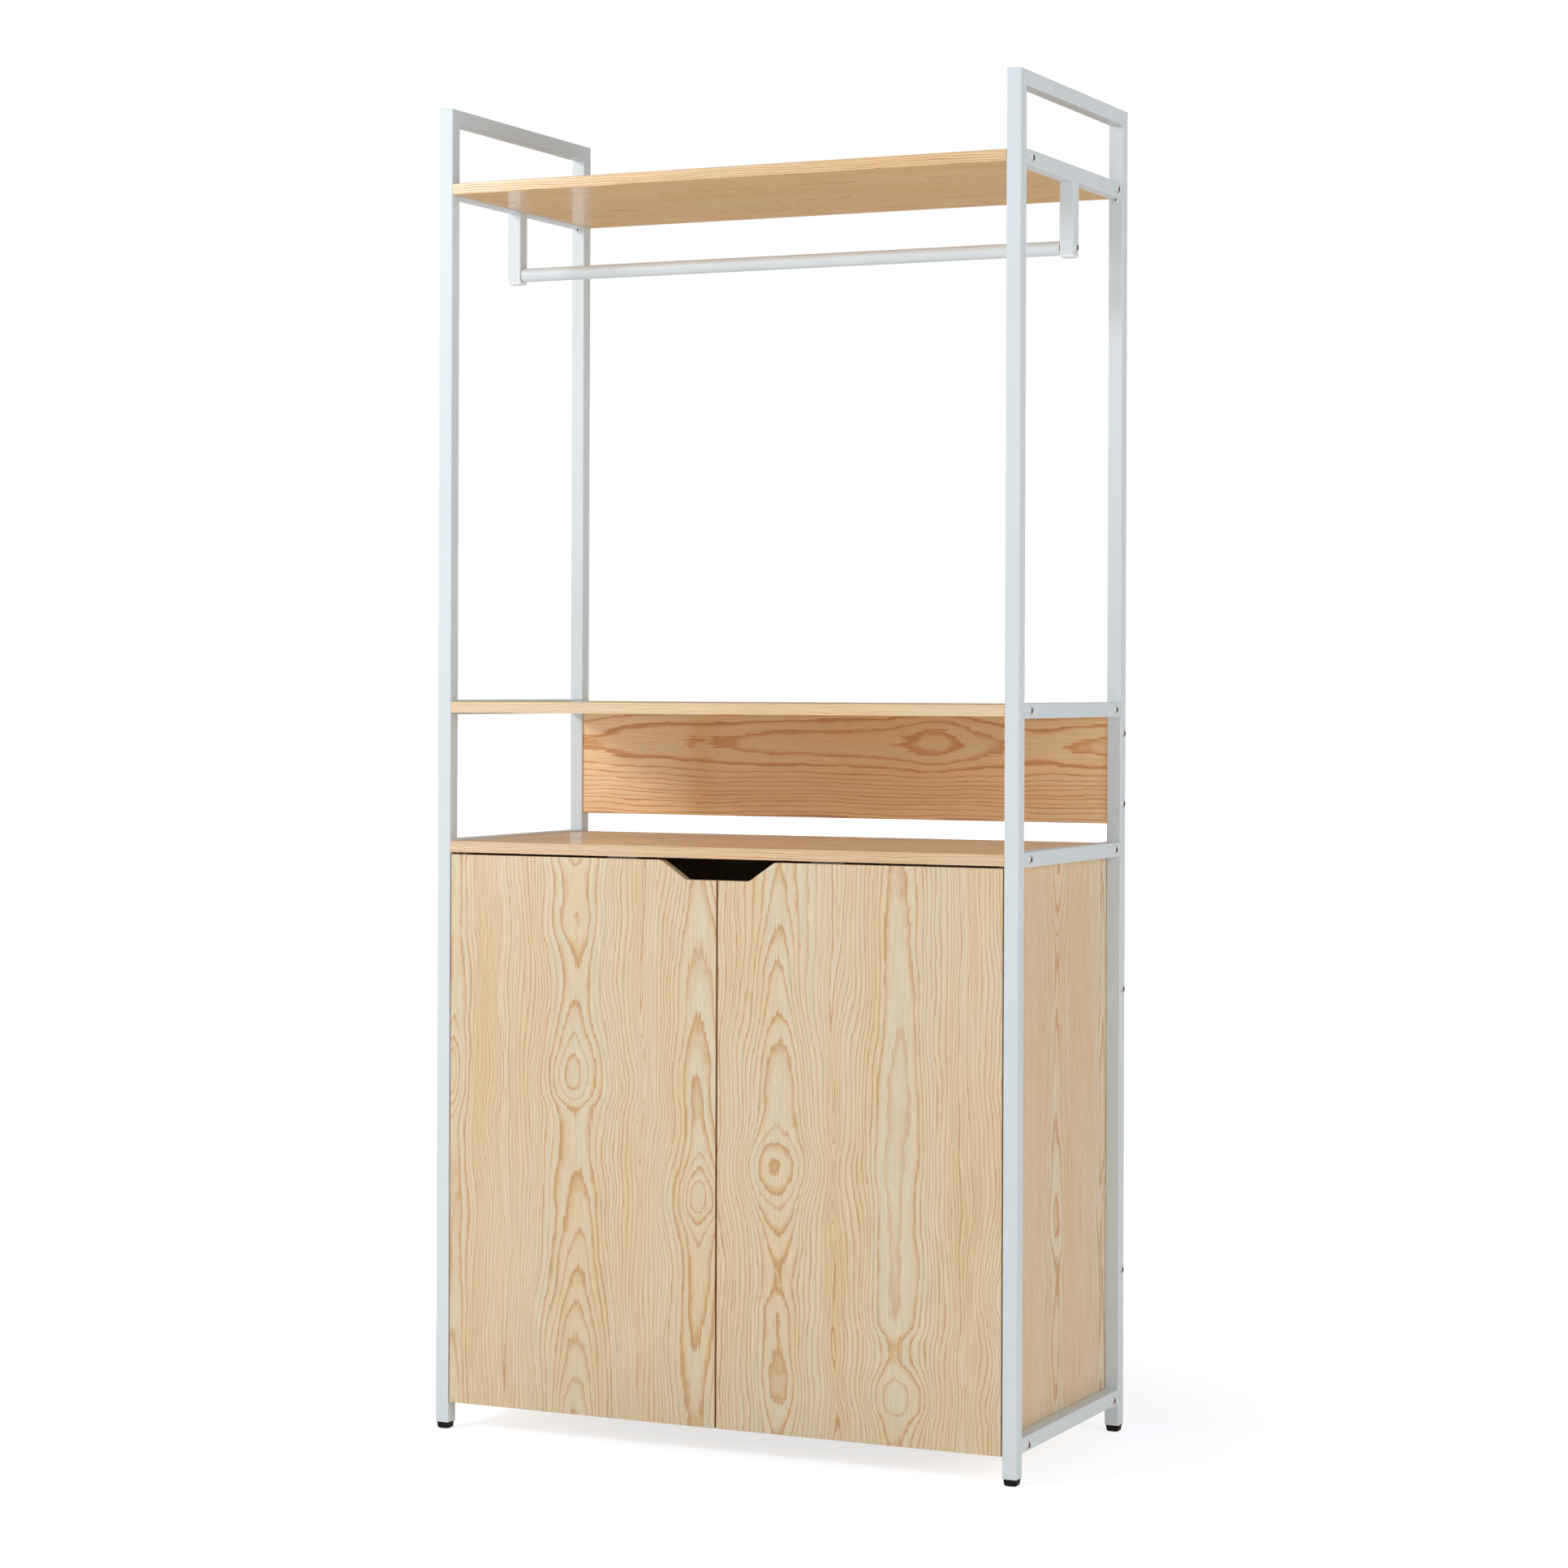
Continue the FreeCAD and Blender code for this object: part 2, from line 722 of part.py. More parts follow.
def prism(side, places, z, height):
    """Upright prism through (across, behind) places, centred on a height."""
    wire = outline([hinge_point(side, across, behind, z - height / 2) for across, behind in places])
    return Part.Face(wire).extrude(Vector(0, 0, height))


def hinge_arm(side, z):
    """Arm on the side panel, whose bent finger reaches into the cup and turns on the pin."""
    slope = math.radians(finger_slope_deg)
    half = finger_thickness / 2
    rise_x = -half * math.sin(slope)
    rise_y = half * math.cos(slope)
    neck_front = neck_across - neck_thickness / 2
    neck_back = neck_across + neck_thickness / 2
    reach = (neck_back - hinge_pin_across) / math.cos(slope)
    tip_x = hinge_pin_across + reach * math.cos(slope)
    tip_y = hinge_pin_behind + reach * math.sin(slope)
    finger = prism(side, [
        (hinge_pin_across + rise_x, hinge_pin_behind + rise_y),
        (hinge_pin_across - rise_x, hinge_pin_behind - rise_y),
        (tip_x, tip_y - half / math.cos(slope)),
        (tip_x, tip_y + half / math.cos(slope)),
    ], z, finger_width)
    neck = prism(side, [
        (neck_front, tip_y - half),
        (neck_back, tip_y - half / math.cos(slope)),
        (neck_back, arm_start_behind + neck_thickness),
        (neck_front, arm_start_behind + neck_thickness),
    ], z, finger_width)
    eye = rod(
        finger_eye_radius,
        hinge_point(side, hinge_pin_across, hinge_pin_behind, z - finger_width / 2),
        hinge_point(side, hinge_pin_across, hinge_pin_behind, z + finger_width / 2),
    )
    panel_face = inside_half_width - side_panel_inner_x - door_side_gap
    foot_face = panel_face + plate_thickness
    channel = prism(side, [
        (foot_face, arm_start_behind),
        (neck_back, arm_start_behind),
        (neck_back, arm_end_behind),
        (foot_face, arm_end_behind),
    ], z, arm_width)
    groove = prism(side, [
        (foot_face - overrun, arm_start_behind + arm_wall),
        (neck_back - arm_wall, arm_start_behind + arm_wall),
        (neck_back - arm_wall, arm_end_behind + overrun),
        (foot_face - overrun, arm_end_behind + overrun),
    ], z, arm_width - arm_wall * 2)
    bore = rod(
        hinge_pin_radius + hinge_pin_clearance,
        hinge_point(side, hinge_pin_across, hinge_pin_behind, z - finger_width),
        hinge_point(side, hinge_pin_across, hinge_pin_behind, z + finger_width),
    )
    plate = Part.Face(rounded_rectangle(
        plate_end_behind - plate_start_behind, plate_length, plate_corner_radius
    ))
    plate = plate.extrude(Vector(0, 0, plate_thickness))
    plate.rotate(Vector(0, 0, 0), Vector(1, 0, 0), 90)
    plate.rotate(Vector(0, 0, 0), Vector(0, 0, 1), -side * 90)
    plate_middle = (plate_start_behind + plate_end_behind) / 2
    plate.translate(hinge_point(side, panel_face, plate_middle, z))
    arm = channel.cut(groove).fuse([neck, finger, eye]).cut(bore)
    return arm.fuse(plate).removeSplitter()


def catch(side):
    """Magnetic catch under the cabinet top, just behind a door, with two pole plates in its front."""
    pole_front_y = door_back_y + strike_thickness + catch_gap
    front_y = pole_front_y + catch_pole_thickness
    middle_x = side * catch_from_centre
    middle_z = cabinet_top_underside - catch_height / 2
    face = Part.Face(rounded_rectangle(catch_length, catch_depth, catch_corner_radius))
    shape = face.extrude(Vector(0, 0, catch_height))
    shape.translate(Vector(middle_x, front_y + catch_depth / 2, cabinet_top_underside - catch_height))
    poles = [
        box(
            (x - catch_pole_thickness / 2, x + catch_pole_thickness / 2),
            (pole_front_y, front_y + catch_pole_thickness),
            (middle_z - catch_pole_height / 2, middle_z + catch_pole_height / 2),
        )
        for x in (middle_x - catch_pole_spacing / 2, middle_x + catch_pole_spacing / 2)
    ]
    return shape.fuse(poles)


def strike_plate(side):
    """Steel plate on the back of a door, opposite its catch."""
    middle_z = door_top - strike_below_door_top - strike_height / 2
    face = Part.Face(rounded_rectangle(strike_length, strike_height, strike_corner_radius))
    shape = face.extrude(Vector(0, 0, strike_thickness))
    hole = rod(strike_hole_radius, Vector(0, 0, -overrun), Vector(0, 0, strike_thickness + overrun))
    shape = shape.cut(hole)
    shape.rotate(Vector(0, 0, 0), Vector(1, 0, 0), -90)
    shape.translate(Vector(side * catch_from_centre, door_back_y, middle_z))
    return shape


def clothes_rail():
    """Round tube between the flanges of its two end plugs."""
    reach = inside_half_width - rail_plug_flange_thickness
    start = Vector(-reach, 0, clothes_rail_height)
    end = Vector(reach, 0, clothes_rail_height)
    bore_start = Vector(-reach - overrun, 0, clothes_rail_height)
    bore_end = Vector(reach + overrun, 0, clothes_rail_height)
    return rod(rail_radius, start, end).cut(rod(rail_radius - rail_wall, bore_start, bore_end))


def rail_plug(side):
    """Threaded plug in one end of the clothes rail, with a flange against the bracket."""
    def place(distance):
        return Vector(side * (inside_half_width - distance), 0, clothes_rail_height)

    flange = rod(rail_plug_flange_radius, place(0), place(rail_plug_flange_thickness))
    body_end = rail_plug_flange_thickness + rail_plug_body_length
    body = rod(
        rail_radius - rail_wall - rail_plug_clearance,
        place(rail_plug_flange_thickness),
        place(body_end),
    )
    bore = rod(screw_radius + insert_bore_clearance, place(-overrun), place(screw_reach + overrun))
    return flange.fuse(body).cut(bore)


def frame_screw(side, y, z):
    """Domed screw through a tube of the side frame into a board or the clothes rail."""
    rise = screw_head_height - screw_head_edge
    dome_radius = (screw_head_radius ** 2 + rise ** 2) / (rise * 2)
    dome_centre_z = screw_head_height - dome_radius
    half_angle = math.asin(screw_head_radius / dome_radius) / 2
    rim = Vector(screw_head_radius, 0, screw_head_edge)
    shoulder = Vector(
        dome_radius * math.sin(half_angle),
        0,
        dome_centre_z + dome_radius * math.cos(half_angle),
    )
    crown = Vector(0, 0, screw_head_height)
    tip_z = -tube_side - screw_reach
    edges = [
        Part.Arc(rim, shoulder, crown).toShape(),
        Part.LineSegment(crown, Vector(0, 0, tip_z)).toShape(),
        Part.LineSegment(Vector(0, 0, tip_z), Vector(screw_radius, 0, tip_z)).toShape(),
        Part.LineSegment(Vector(screw_radius, 0, tip_z), Vector(screw_radius, 0, 0)).toShape(),
        Part.LineSegment(Vector(screw_radius, 0, 0), Vector(screw_head_radius, 0, 0)).toShape(),
        Part.LineSegment(Vector(screw_head_radius, 0, 0), rim).toShape(),
    ]
    shape = Part.Face(Part.Wire(edges)).revolve(Vector(0, 0, 0), Vector(0, 0, 1), 360)
    shape.rotate(Vector(0, 0, 0), Vector(0, 1, 0), side * 90)
    shape.translate(Vector(side * half_width, y, z))
    return shape


def board_screw_places():
    """The (y, z) of every screw that goes through one side frame into a board."""
    places = []
    for level in rail_heights:
        places += rail_screw_places(board_centres[level])
    return places + rear_post_screw_places


def insert(side, y, z):
    """Threaded insert in the end of a board."""
    start = Vector(side * inside_half_width, y, z)
    end = Vector(side * (inside_half_width - insert_length), y, z)
    bore_start = Vector(side * (inside_half_width + overrun), y, z)
    bore_end = Vector(side * (inside_half_width - insert_length - overrun), y, z)
    bore = rod(screw_radius + insert_bore_clearance, bore_start, bore_end)
    return rod(insert_radius, start, end).cut(bore)


def solid_or_group(shapes):
    """One shape, or several separate solids as a group."""
    shapes = list(shapes)
    return shapes[0] if len(shapes) == 1 else Part.makeCompound(shapes)


def side_nodes(word, side):
    """Every piece that a left or right side has, by name."""
    nodes = {
        f"{word}_front_post": post(side, -1),
        f"{word}_rear_post": post(side, 1),
        f"{word}_top_rail": top_rail(side),
        f"{word}_hanging_bracket": hanging_bracket(side),
        f"{word}_bracket_cap": bracket_cap(side),
        f"{word}_side_panel": side_panel(side),
        f"{word}_door": door(side),
        f"{word}_hinge_pins": solid_or_group(hinge_pin(side, z) for z in hinge_heights),
        f"{word}_magnetic_catch": catch(side),
        f"{word}_strike_plate": strike_plate(side),
        f"{word}_rail_plug": rail_plug(side),
        f"{word}_rail_screw": frame_screw(side, 0, clothes_rail_height),
    }
    for level in rail_heights:
        nodes[f"{word}_{level}_rail"] = shelf_rail(side, level)
    for end, z in zip(("lower", "upper"), hinge_heights):
        nodes[f"{word}_{end}_hinge_cup"] = hinge_cup(side, z)
        nodes[f"{word}_{end}_hinge_arm"] = hinge_arm(side, z)
    for end, y in (("front", -post_centre_y), ("rear", post_centre_y)):
        nodes[f"{word}_{end}_foot"] = foot(side * post_centre_x, y)
    places = board_screw_places()
    nodes[f"{word}_frame_screws"] = solid_or_group(frame_screw(side, y, z) for y, z in places)
    nodes[f"{word}_threaded_inserts"] = solid_or_group(insert(side, y, z) for y, z in places)
    return nodes


def all_nodes():
    """Every piece of the stand, by name."""
    nodes = {
        "top_shelf": full_board("upper_shelf"),
        "middle_shelf": full_board("middle_shelf"),
        "cabinet_top": cabinet_top(),
        "cabinet_bottom": cabinet_bottom(),
        "back_panel": rear_board(cabinet_bottom_top, cabinet_top_underside, back_panel_screw_places),
        "compartment_backboard": rear_board(backboard_bottom, backboard_top, backboard_screw_places),
        "inner_shelf": inner_shelf(),
        "clothes_rail": clothes_rail(),
    }
    for word, side in sides.items():
        nodes.update(side_nodes(word, side))
    posts = [(x * post_centre_x, y * post_centre_y) for x in (-1, 1) for y in (-1, 1)]
    nodes["post_plugs"] = solid_or_group(post_plug(x, y) for x, y in posts)
    row_ys, peg_z = peg_places()
    nodes["shelf_pegs"] = solid_or_group(
        shelf_peg(side, y, peg_z) for side in sides.values() for y in row_ys
    )
    joints = (cabinet_bottom_top, cabinet_top_underside)
    nodes["dowels"] = solid_or_group(bar for joint_z in joints for bar in dowel_bars(joint_z, 0))
    return nodes


def main():
    os.makedirs("parts", exist_ok=True)
    for name, shape in all_nodes().items():
        if not shape.isValid():
            raise ValueError(name)
        shape.exportStep(os.path.join("parts", name + ".step"))
        print(name, len(shape.Solids), round(shape.Volume))


main()
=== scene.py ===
import math
from typing import NamedTuple

import bmesh
import bpy
from bpy.props import FloatProperty, FloatVectorProperty, IntProperty, PointerProperty
from mathutils import Matrix, Vector


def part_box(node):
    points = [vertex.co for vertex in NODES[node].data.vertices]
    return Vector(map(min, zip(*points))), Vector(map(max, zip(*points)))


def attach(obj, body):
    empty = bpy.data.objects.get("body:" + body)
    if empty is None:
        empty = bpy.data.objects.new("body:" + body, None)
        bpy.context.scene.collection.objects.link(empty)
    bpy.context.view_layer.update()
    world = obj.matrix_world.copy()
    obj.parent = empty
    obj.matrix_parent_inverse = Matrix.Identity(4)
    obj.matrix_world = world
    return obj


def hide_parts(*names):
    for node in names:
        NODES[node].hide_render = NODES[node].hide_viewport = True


bl_info = {
    "name": "Hall stand finishes",
    "version": (1, 0, 0),
    "blender": (4, 5, 0),
    "location": "3D View > Sidebar > Hall stand",
    "description": "Powder coat, wood laminate, fittings, screws and a studio for a hall stand",
    "category": "Object",
}

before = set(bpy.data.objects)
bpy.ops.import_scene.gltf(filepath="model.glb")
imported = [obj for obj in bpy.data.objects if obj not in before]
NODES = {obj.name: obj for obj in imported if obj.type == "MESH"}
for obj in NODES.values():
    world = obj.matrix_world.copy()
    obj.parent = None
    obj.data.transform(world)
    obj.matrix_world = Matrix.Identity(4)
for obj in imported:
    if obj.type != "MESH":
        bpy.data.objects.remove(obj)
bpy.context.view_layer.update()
SIDES = {"left": -1, "right": 1}


# Settings

def colour(name, description, default):
    """Colour setting, in linear values."""
    return FloatVectorProperty(
        name=name, description=description, subtype="COLOR", size=3, min=0, max=1, default=default
    )


def length(name, description, default):
    """Length setting, in metres."""
    return FloatProperty(name=name, description=description, unit="LENGTH", default=default)


def number(name, description, default):
    """Plain number setting."""
    return FloatProperty(name=name, description=description, default=default)


class WoodSettings(bpy.types.PropertyGroup):
    """Printed wood laminate of the boards"""

    early: colour("Early wood", "Colour after a ring line", (0.792, 0.655, 0.465))
    warm: colour("Warm band", "Colour just before a ring line", (0.795, 0.570, 0.335))
    late: colour("Late wood", "Colour of the ring lines", (0.560, 0.330, 0.165))
    figure: colour("Figure", "Colour inside the flames and knots", (0.745, 0.665, 0.480))
    flame: colour(
        "Flame", "Colour of the ring lines around the flames and knots", (0.625, 0.365, 0.180)
    )
    spacing: length("Ring spacing", "Distance between ring lines where they run straight", 0.0024)
    sway: length("Sway", "How far the whole figure drifts sideways", 0.026)
    wobble: length("Wobble", "How far a ring line trembles sideways", 0.0031)
    roughness: number("Roughness", "Roughness of the laminate", 0.19)
    relief: length("Relief", "Depth of the pressed grain", 0.00006)
    gloss: number("Gloss", "Strength of the reflections, where 0.5 is common plastic", 0.42)


class CoatSettings(bpy.types.PropertyGroup):
    """Powder coat of the side frames and the clothes rail"""

    white: colour("White", "Colour of the coat", (0.735, 0.808, 0.845))
    shade: colour("Shade", "Colour of the coat's thin spots", (0.695, 0.765, 0.800))
    roughness: number("Roughness", "Roughness of the coat", 0.38)
    texture_size: length("Texture size", "Width of the coat's small bumps", 0.0016)
    texture_depth: length("Texture depth", "Height of the coat's small bumps", 0.00003)
    edge_radius: length("Edge radius", "Rounding that the coat gives to sharp edges", 0.0007)


class FittingSettings(bpy.types.PropertyGroup):
    """Screws, hinges, catches, plugs and feet"""

    zinc: colour("Zinc", "Colour of the zinc-plated screws", (0.90, 0.92, 0.95))
    # Black painted shade for the screws' recesses, the vent holes and the rings at the clothes
    # rail's plugs
    recess: colour("Recess", "Colour of the screws' recesses", (0.045, 0.046, 0.05))
    nickel: colour("Nickel", "Colour of the hinges", (0.60, 0.59, 0.57))
    white_plastic: colour("White plastic", "Colour of plugs and caps", (0.86, 0.88, 0.87))
    catch_plastic: colour("Catch plastic", "Colour of the magnetic catches", (0.74, 0.74, 0.72))
    foot_plastic: colour("Foot plastic", "Colour of the feet", (0.007, 0.007, 0.008))
    foot_gloss: number(
        "Foot gloss", "Strength of the feet's reflections, where 0.5 is common plastic", 0.2
    )
    recess_width: length("Recess width", "Span of the cross recess in a frame screw", 0.0082)
    recess_depth: length("Recess depth", "Depth of the cross recess in a frame screw", 0.0011)
    recess_slot: length("Recess slot", "Width of each arm of the cross recess", 0.0018)
    vent_radius: length(
        "Vent bead radius", "Half the width of the weld bead on each rear post", 0.0046
    )
    vent_hole: length("Vent radius", "Half the width of the vent in each bead", 0.0013)
    # Painted shadow: a thin black ring stands in for the shade where each plug of the clothes rail
    # meets its bracket
    shadow_ring_width: length("Shadow ring width", "Width of the seam at each end of the clothes rail", 0.0005)
    shadow_ring_rise: length("Shadow ring rise", "How far the seam stands out round the plug", 0.0002)
    small_head: length("Small screw head", "Radius of the hinge and catch screws' heads", 0.0034)
    small_rise: length("Small screw rise", "Height of the hinge and catch screws' heads", 0.0011)
    cup_screw_pitch: length("Cup screw pitch", "Distance between a hinge cup's two screws", 0.048)
    plate_screw_pitch: length(
        "Plate screw pitch", "Distance between an arm plate's two screws", 0.032
    )
    segments: IntProperty(name="Segments", description="Sides of a round head", default=40)


class StageSettings(bpy.types.PropertyGroup):
    """Camera, lamps, floor and background"""

    camera_place: FloatVectorProperty(
        name="Camera place", description="Where the camera stands", subtype="TRANSLATION",
        unit="LENGTH", default=(2.105914, -4.507688, 1.014936),
    )
    camera_turn: number("Camera turn", "Degrees that the camera is turned to the left", 25.0113)
    camera_roll: number("Camera roll", "Degrees that the camera leans to the left", 0.2074)
    lens: number("Lens", "Focal length in millimetres, on a 36 mm wide sensor", 83.639)
    shift_up: number("Shift up", "Share of the picture that the view is raised", -0.06271)
    sky_light: number("Sky light", "Strength of the light from above", 0.27)
    key_power: number("Key power", "Watts of the lamp on the left", 62.0)
    front_power: number("Front power", "Watts of the lamp in front", 7.0)
    fill_power: number("Fill power", "Watts of the lamp on the right", 64.0)
    left_glint_power: number(
        "Left glint power", "Watts of the small lamp in the backboard's gloss, left", 3.6
    )
    right_glint_power: number(
        "Right glint power", "Watts of the small lamp in the backboard's gloss, right", 1.0
    )
    floor: colour("Floor", "Colour of the floor that the camera sees", (0.58, 0.62, 0.70))
    floor_bounce: colour(
        "Floor bounce", "Colour of the floor that lights the stand", (0.84, 0.84, 0.84)
    )
    floor_lift: colour(
        "Floor lift", "Light that the floor gives off by itself", (0.37, 0.37, 0.38)
    )
    mirrored: colour(
        "Mirrored surroundings", "What gloss mirrors of the floor and behind the stand",
        (0.48, 0.34, 0.23),
    )
    floor_glow: number("Floor glow", "Share of white that the camera sees on the floor", 0.71)
    shadow_reach: length(
        "Shadow reach", "Distance from the stand at which its shadow has faded", 1.6
    )
    horizon_light: number("Horizon light", "Strength of the light from level with the stand", 0.50)


GROUPS = {
    "hall_stand_wood": WoodSettings,
    "hall_stand_coat": CoatSettings,
    "hall_stand_fittings": FittingSettings,
    "hall_stand_stage": StageSettings,
}


# Shader nodes

EDGE_SAMPLES = 6


class Shader:
    """Builds one material or node group, where every value is a number or a node's output."""

    def __init__(self, tree):
        self.tree = tree
        self.surface = tree.nodes.get("Principled BSDF")

    def node(self, kind, inputs=(), **options):
        made = self.tree.nodes.new(kind)
        for key, value in options.items():
            setattr(made, key, value)
        for key, value in dict(inputs).items():
            self.put(made.inputs[key], value)
        return made

    def put(self, socket, value):
        if isinstance(value, bpy.types.NodeSocket):
            self.tree.links.new(value, socket)
        elif socket.type == "RGBA" and len(value) == 3:
            socket.default_value = (*value, 1)
        else:
            socket.default_value = value

    def math(self, operation, *values):
        return self.node("ShaderNodeMath", enumerate(values), operation=operation).outputs[0]

    def add(self, first, second):
        return self.math("ADD", first, second)

    def scale(self, value, factor):
        return self.math("MULTIPLY", value, factor)

    def linear(self, value, slope, base):
        """The value times a slope, plus a base."""
        return self.math("MULTIPLY_ADD", value, slope, base)

    def vector(self, x, y, z):
        return self.node("ShaderNodeCombineXYZ", {0: x, 1: y, 2: z}).outputs[0]

    def noise(self, place, scale, detail=2.0, roughness=0.5, dimensions="3D"):
        """Noise from 0 to 1. A place is a vector, or one number for noise along a line."""
        line = place.type == "VALUE"
        where = "W" if line else "Vector"
        made = self.node(
            "ShaderNodeTexNoise",
            {where: place, "Scale": scale, "Detail": detail, "Roughness": roughness},
            noise_dimensions="1D" if line else dimensions,
        )
        return made.outputs["Fac"]

    def stretched_noise(self, across, along, grain):
        """Flat noise from 0 to 1. A grain is its scale across, its scale along and its detail."""
        across_scale, along_scale, detail = grain
        place = self.vector(self.scale(across, across_scale), self.scale(along, along_scale), 0)
        return self.noise(place, 1.0, detail, dimensions="2D")

    def centred(self, noise, spread):
        """Noise from 0 to 1, turned to minus half the spread to plus half the spread."""
        return self.scale(self.add(noise, -0.5), spread)

    def ramp(self, value, stops):
        """Grey ramp through (place, grey) stops."""
        made = self.node("ShaderNodeValToRGB", {"Fac": value})
        elements = made.color_ramp.elements
        while len(elements) < len(stops):
            elements.new(0.5)
        for element, (place, grey) in zip(elements, stops):
            element.position = place
            element.color = (grey, grey, grey, 1)
        return made.outputs["Color"]

    def mix(self, factor, first, second, blend="MIX"):
        """Two colours mixed by a factor."""
        made = self.node("ShaderNodeMix", data_type="RGBA", blend_type=blend)
        colours = [socket for socket in made.inputs if socket.type == "RGBA"]
        self.put(made.inputs[0], factor)
        self.put(colours[0], first)
        self.put(colours[1], second)
        return next(socket for socket in made.outputs if socket.type == "RGBA")

    def grey(self, value):
        """The grey of a number."""
        return self.node("ShaderNodeCombineColor", {0: value, 1: value, 2: value}).outputs[0]

    def span(self, value, start, end, first=0.0, second=1.0):
        """Number that goes from the first to the second as the value goes from start to end."""
        ends = {"From Min": start, "From Max": end, "To Min": first, "To Max": second}
        return self.node("ShaderNodeMapRange", {"Value": value, **ends}).outputs[0]

    def object_place(self):
        """Object coordinates of the shaded point."""
        return self.node("ShaderNodeTexCoord").outputs["Object"]

    def object_axes(self):
        """Object coordinates of the shaded point, each by its letter."""
        parts = self.node("ShaderNodeSeparateXYZ", {0: self.object_place()})
        return dict(zip("XYZ", parts.outputs))

    def bump(self, height, distance, normal=None):
        """Normal of a surface with a height on it, and with soft edges where a normal has them."""
        inputs = {"Height": height, "Distance": distance}
        if normal is not None:
            inputs["Normal"] = normal
        return self.node("ShaderNodeBump", inputs).outputs[0]

    def soft_edges(self, radius):
        """Normal that rounds the edges."""
        return self.node("ShaderNodeBevel", {"Radius": radius}, samples=EDGE_SAMPLES).outputs[0]

    def cover(self, base, roughness, normal):
        """Sets what every finish has: its colour, its roughness and its relief."""
        for socket, value in (("Base Color", base), ("Roughness", roughness), ("Normal", normal)):
            self.put(self.surface.inputs[socket], value)


def new_material(name):
    """Plain material and the shader that fills it."""
    material = bpy.data.materials.new(name)
    material.use_nodes = True
    return material, Shader(material.node_tree)


# Wood laminate

# A figure runs along the grain at one place across it. Its course says how many rings deep the cut
# lies at each place along the grain: a low point is a knot, a rise makes arches, and a high point
# between two low ones is a neck. Places are in metres, as in the frame.
DOOR_COURSES = {
    "left": (
        (-0.405, 0.05, (
            (0.04, 1.0), (0.4, 1.6), (0.485, -0.6), (0.56, 1.2), (0.78, 1.8),
        )),
        (-0.216, 0.13, (
            (0.04, -2.6), (0.1, -1.5), (0.17, -0.4), (0.24, 0.7), (0.33, 2.1), (0.38, 2.7),
            (0.435, 2.6), (0.468, 0.8), (0.492, 0.2), (0.53, 0.9), (0.575, 2.0), (0.61, 2.6),
            (0.65, 2.3), (0.7, 1.3), (0.74, 1.6), (0.78, 1.0),
        )),
        (-0.033, 0.103, (
            (0.04, 3.8), (0.12, 3.0), (0.2, 2.0), (0.28, 1.2), (0.31, 0.2), (0.341, -0.8),
            (0.37, 0.0), (0.4, 1.1), (0.44, 1.8), (0.52, 2.8), (0.6, 3.8), (0.66, 4.5),
            (0.72, 5.2), (0.78, 5.9),
        )),
    ),
    "right": (
        (0.083, 0.114, (
            (0.04, 2.6), (0.13, 2.0), (0.19, 2.2), (0.24, 3.0), (0.28, 2.6), (0.33, 1.0),
            (0.36, -0.6), (0.385, -1.4), (0.405, -0.8), (0.43, 0.6), (0.46, 1.3), (0.5, 1.5),
            (0.55, 2.2), (0.59, 3.0), (0.65, 3.7), (0.7, 4.4), (0.78, 5.2),
        )),
        (0.25, 0.135, (
            (0.04, 1.9), (0.07, 1.2), (0.098, 0.2), (0.13, 1.2), (0.16, 2.0), (0.2, 0.9),
            (0.3, 0.7), (0.4, 0.9), (0.5, 0.6), (0.62, 1.0), (0.78, 1.6),
        )),
        (0.414, 0.045, (
            (0.04, 1.4), (0.2, 0.8), (0.238, -0.8), (0.28, 0.8), (0.78, 2.0),
        )),
    ),
}
PANEL_COURSES = (
    (0.0, 0.065, (
        (0.06, 2.6), (0.16, 1.2), (0.24, 2.0), (0.31, 0.2), (0.36, 0.8), (0.43, 1.9), (0.5, 2.6),
        (0.6, 3.4), (0.66, 3.8), (0.71, 2.2), (0.77, 0.4),
    )),
    (0.172, 0.04, (
        (0.06, 0.4), (0.25, 1.8), (0.42, -0.6), (0.6, 1.0), (0.77, 2.0),
    )),
)
BACKBOARD_COURSES = (
    (0.926, 0.05, (
        (-0.405, 1.8), (-0.36, 1.41), (-0.32, 0.98), (-0.25, 0.62), (-0.178, 0.41), (-0.12, 0.05),
        (-0.05, -0.1), (0.05, -0.25), (0.11, -0.9), (0.148, -1.45), (0.185, -0.8), (0.22, 0.0),
        (0.25, 0.41), (0.31, 0.95), (0.35, 0.5), (0.405, 0.1),
    )),
)
LONG_COURSES = (
    (-0.105, 0.04, (
        (-0.4, 0.4), (-0.22, 2.4), (-0.05, 0.9), (0.12, 1.8), (0.28, 0.2), (0.41, 1.6),
    )),
    (0.03, 0.05, (
        (-0.4, 2.2), (-0.25, 0.8), (-0.1, -0.6), (0.02, 1.0), (0.2, 2.6), (0.41, 1.0),
    )),
    (0.15, 0.036, (
        (-0.4, 0.6), (-0.15, 1.6), (0.1, 0.2), (0.26, 1.2), (0.41, 2.4),
    )),
)
TALL_COURSES = (
    (-0.27, 0.05, (
        (0.05, 0.4), (0.25, 2.4), (0.38, -0.9), (0.55, 1.9), (0.78, 3.0),
    )),
    (0.01, 0.06, (
        (0.05, 2.6), (0.2, 0.6), (0.33, 1.6), (0.52, -0.8), (0.65, 1.2), (0.78, 2.6),
    )),
    (0.25, 0.046, (
        (0.05, 1.0), (0.24, -0.6), (0.4, 1.6), (0.6, 2.4), (0.78, 0.8),
    )),
)


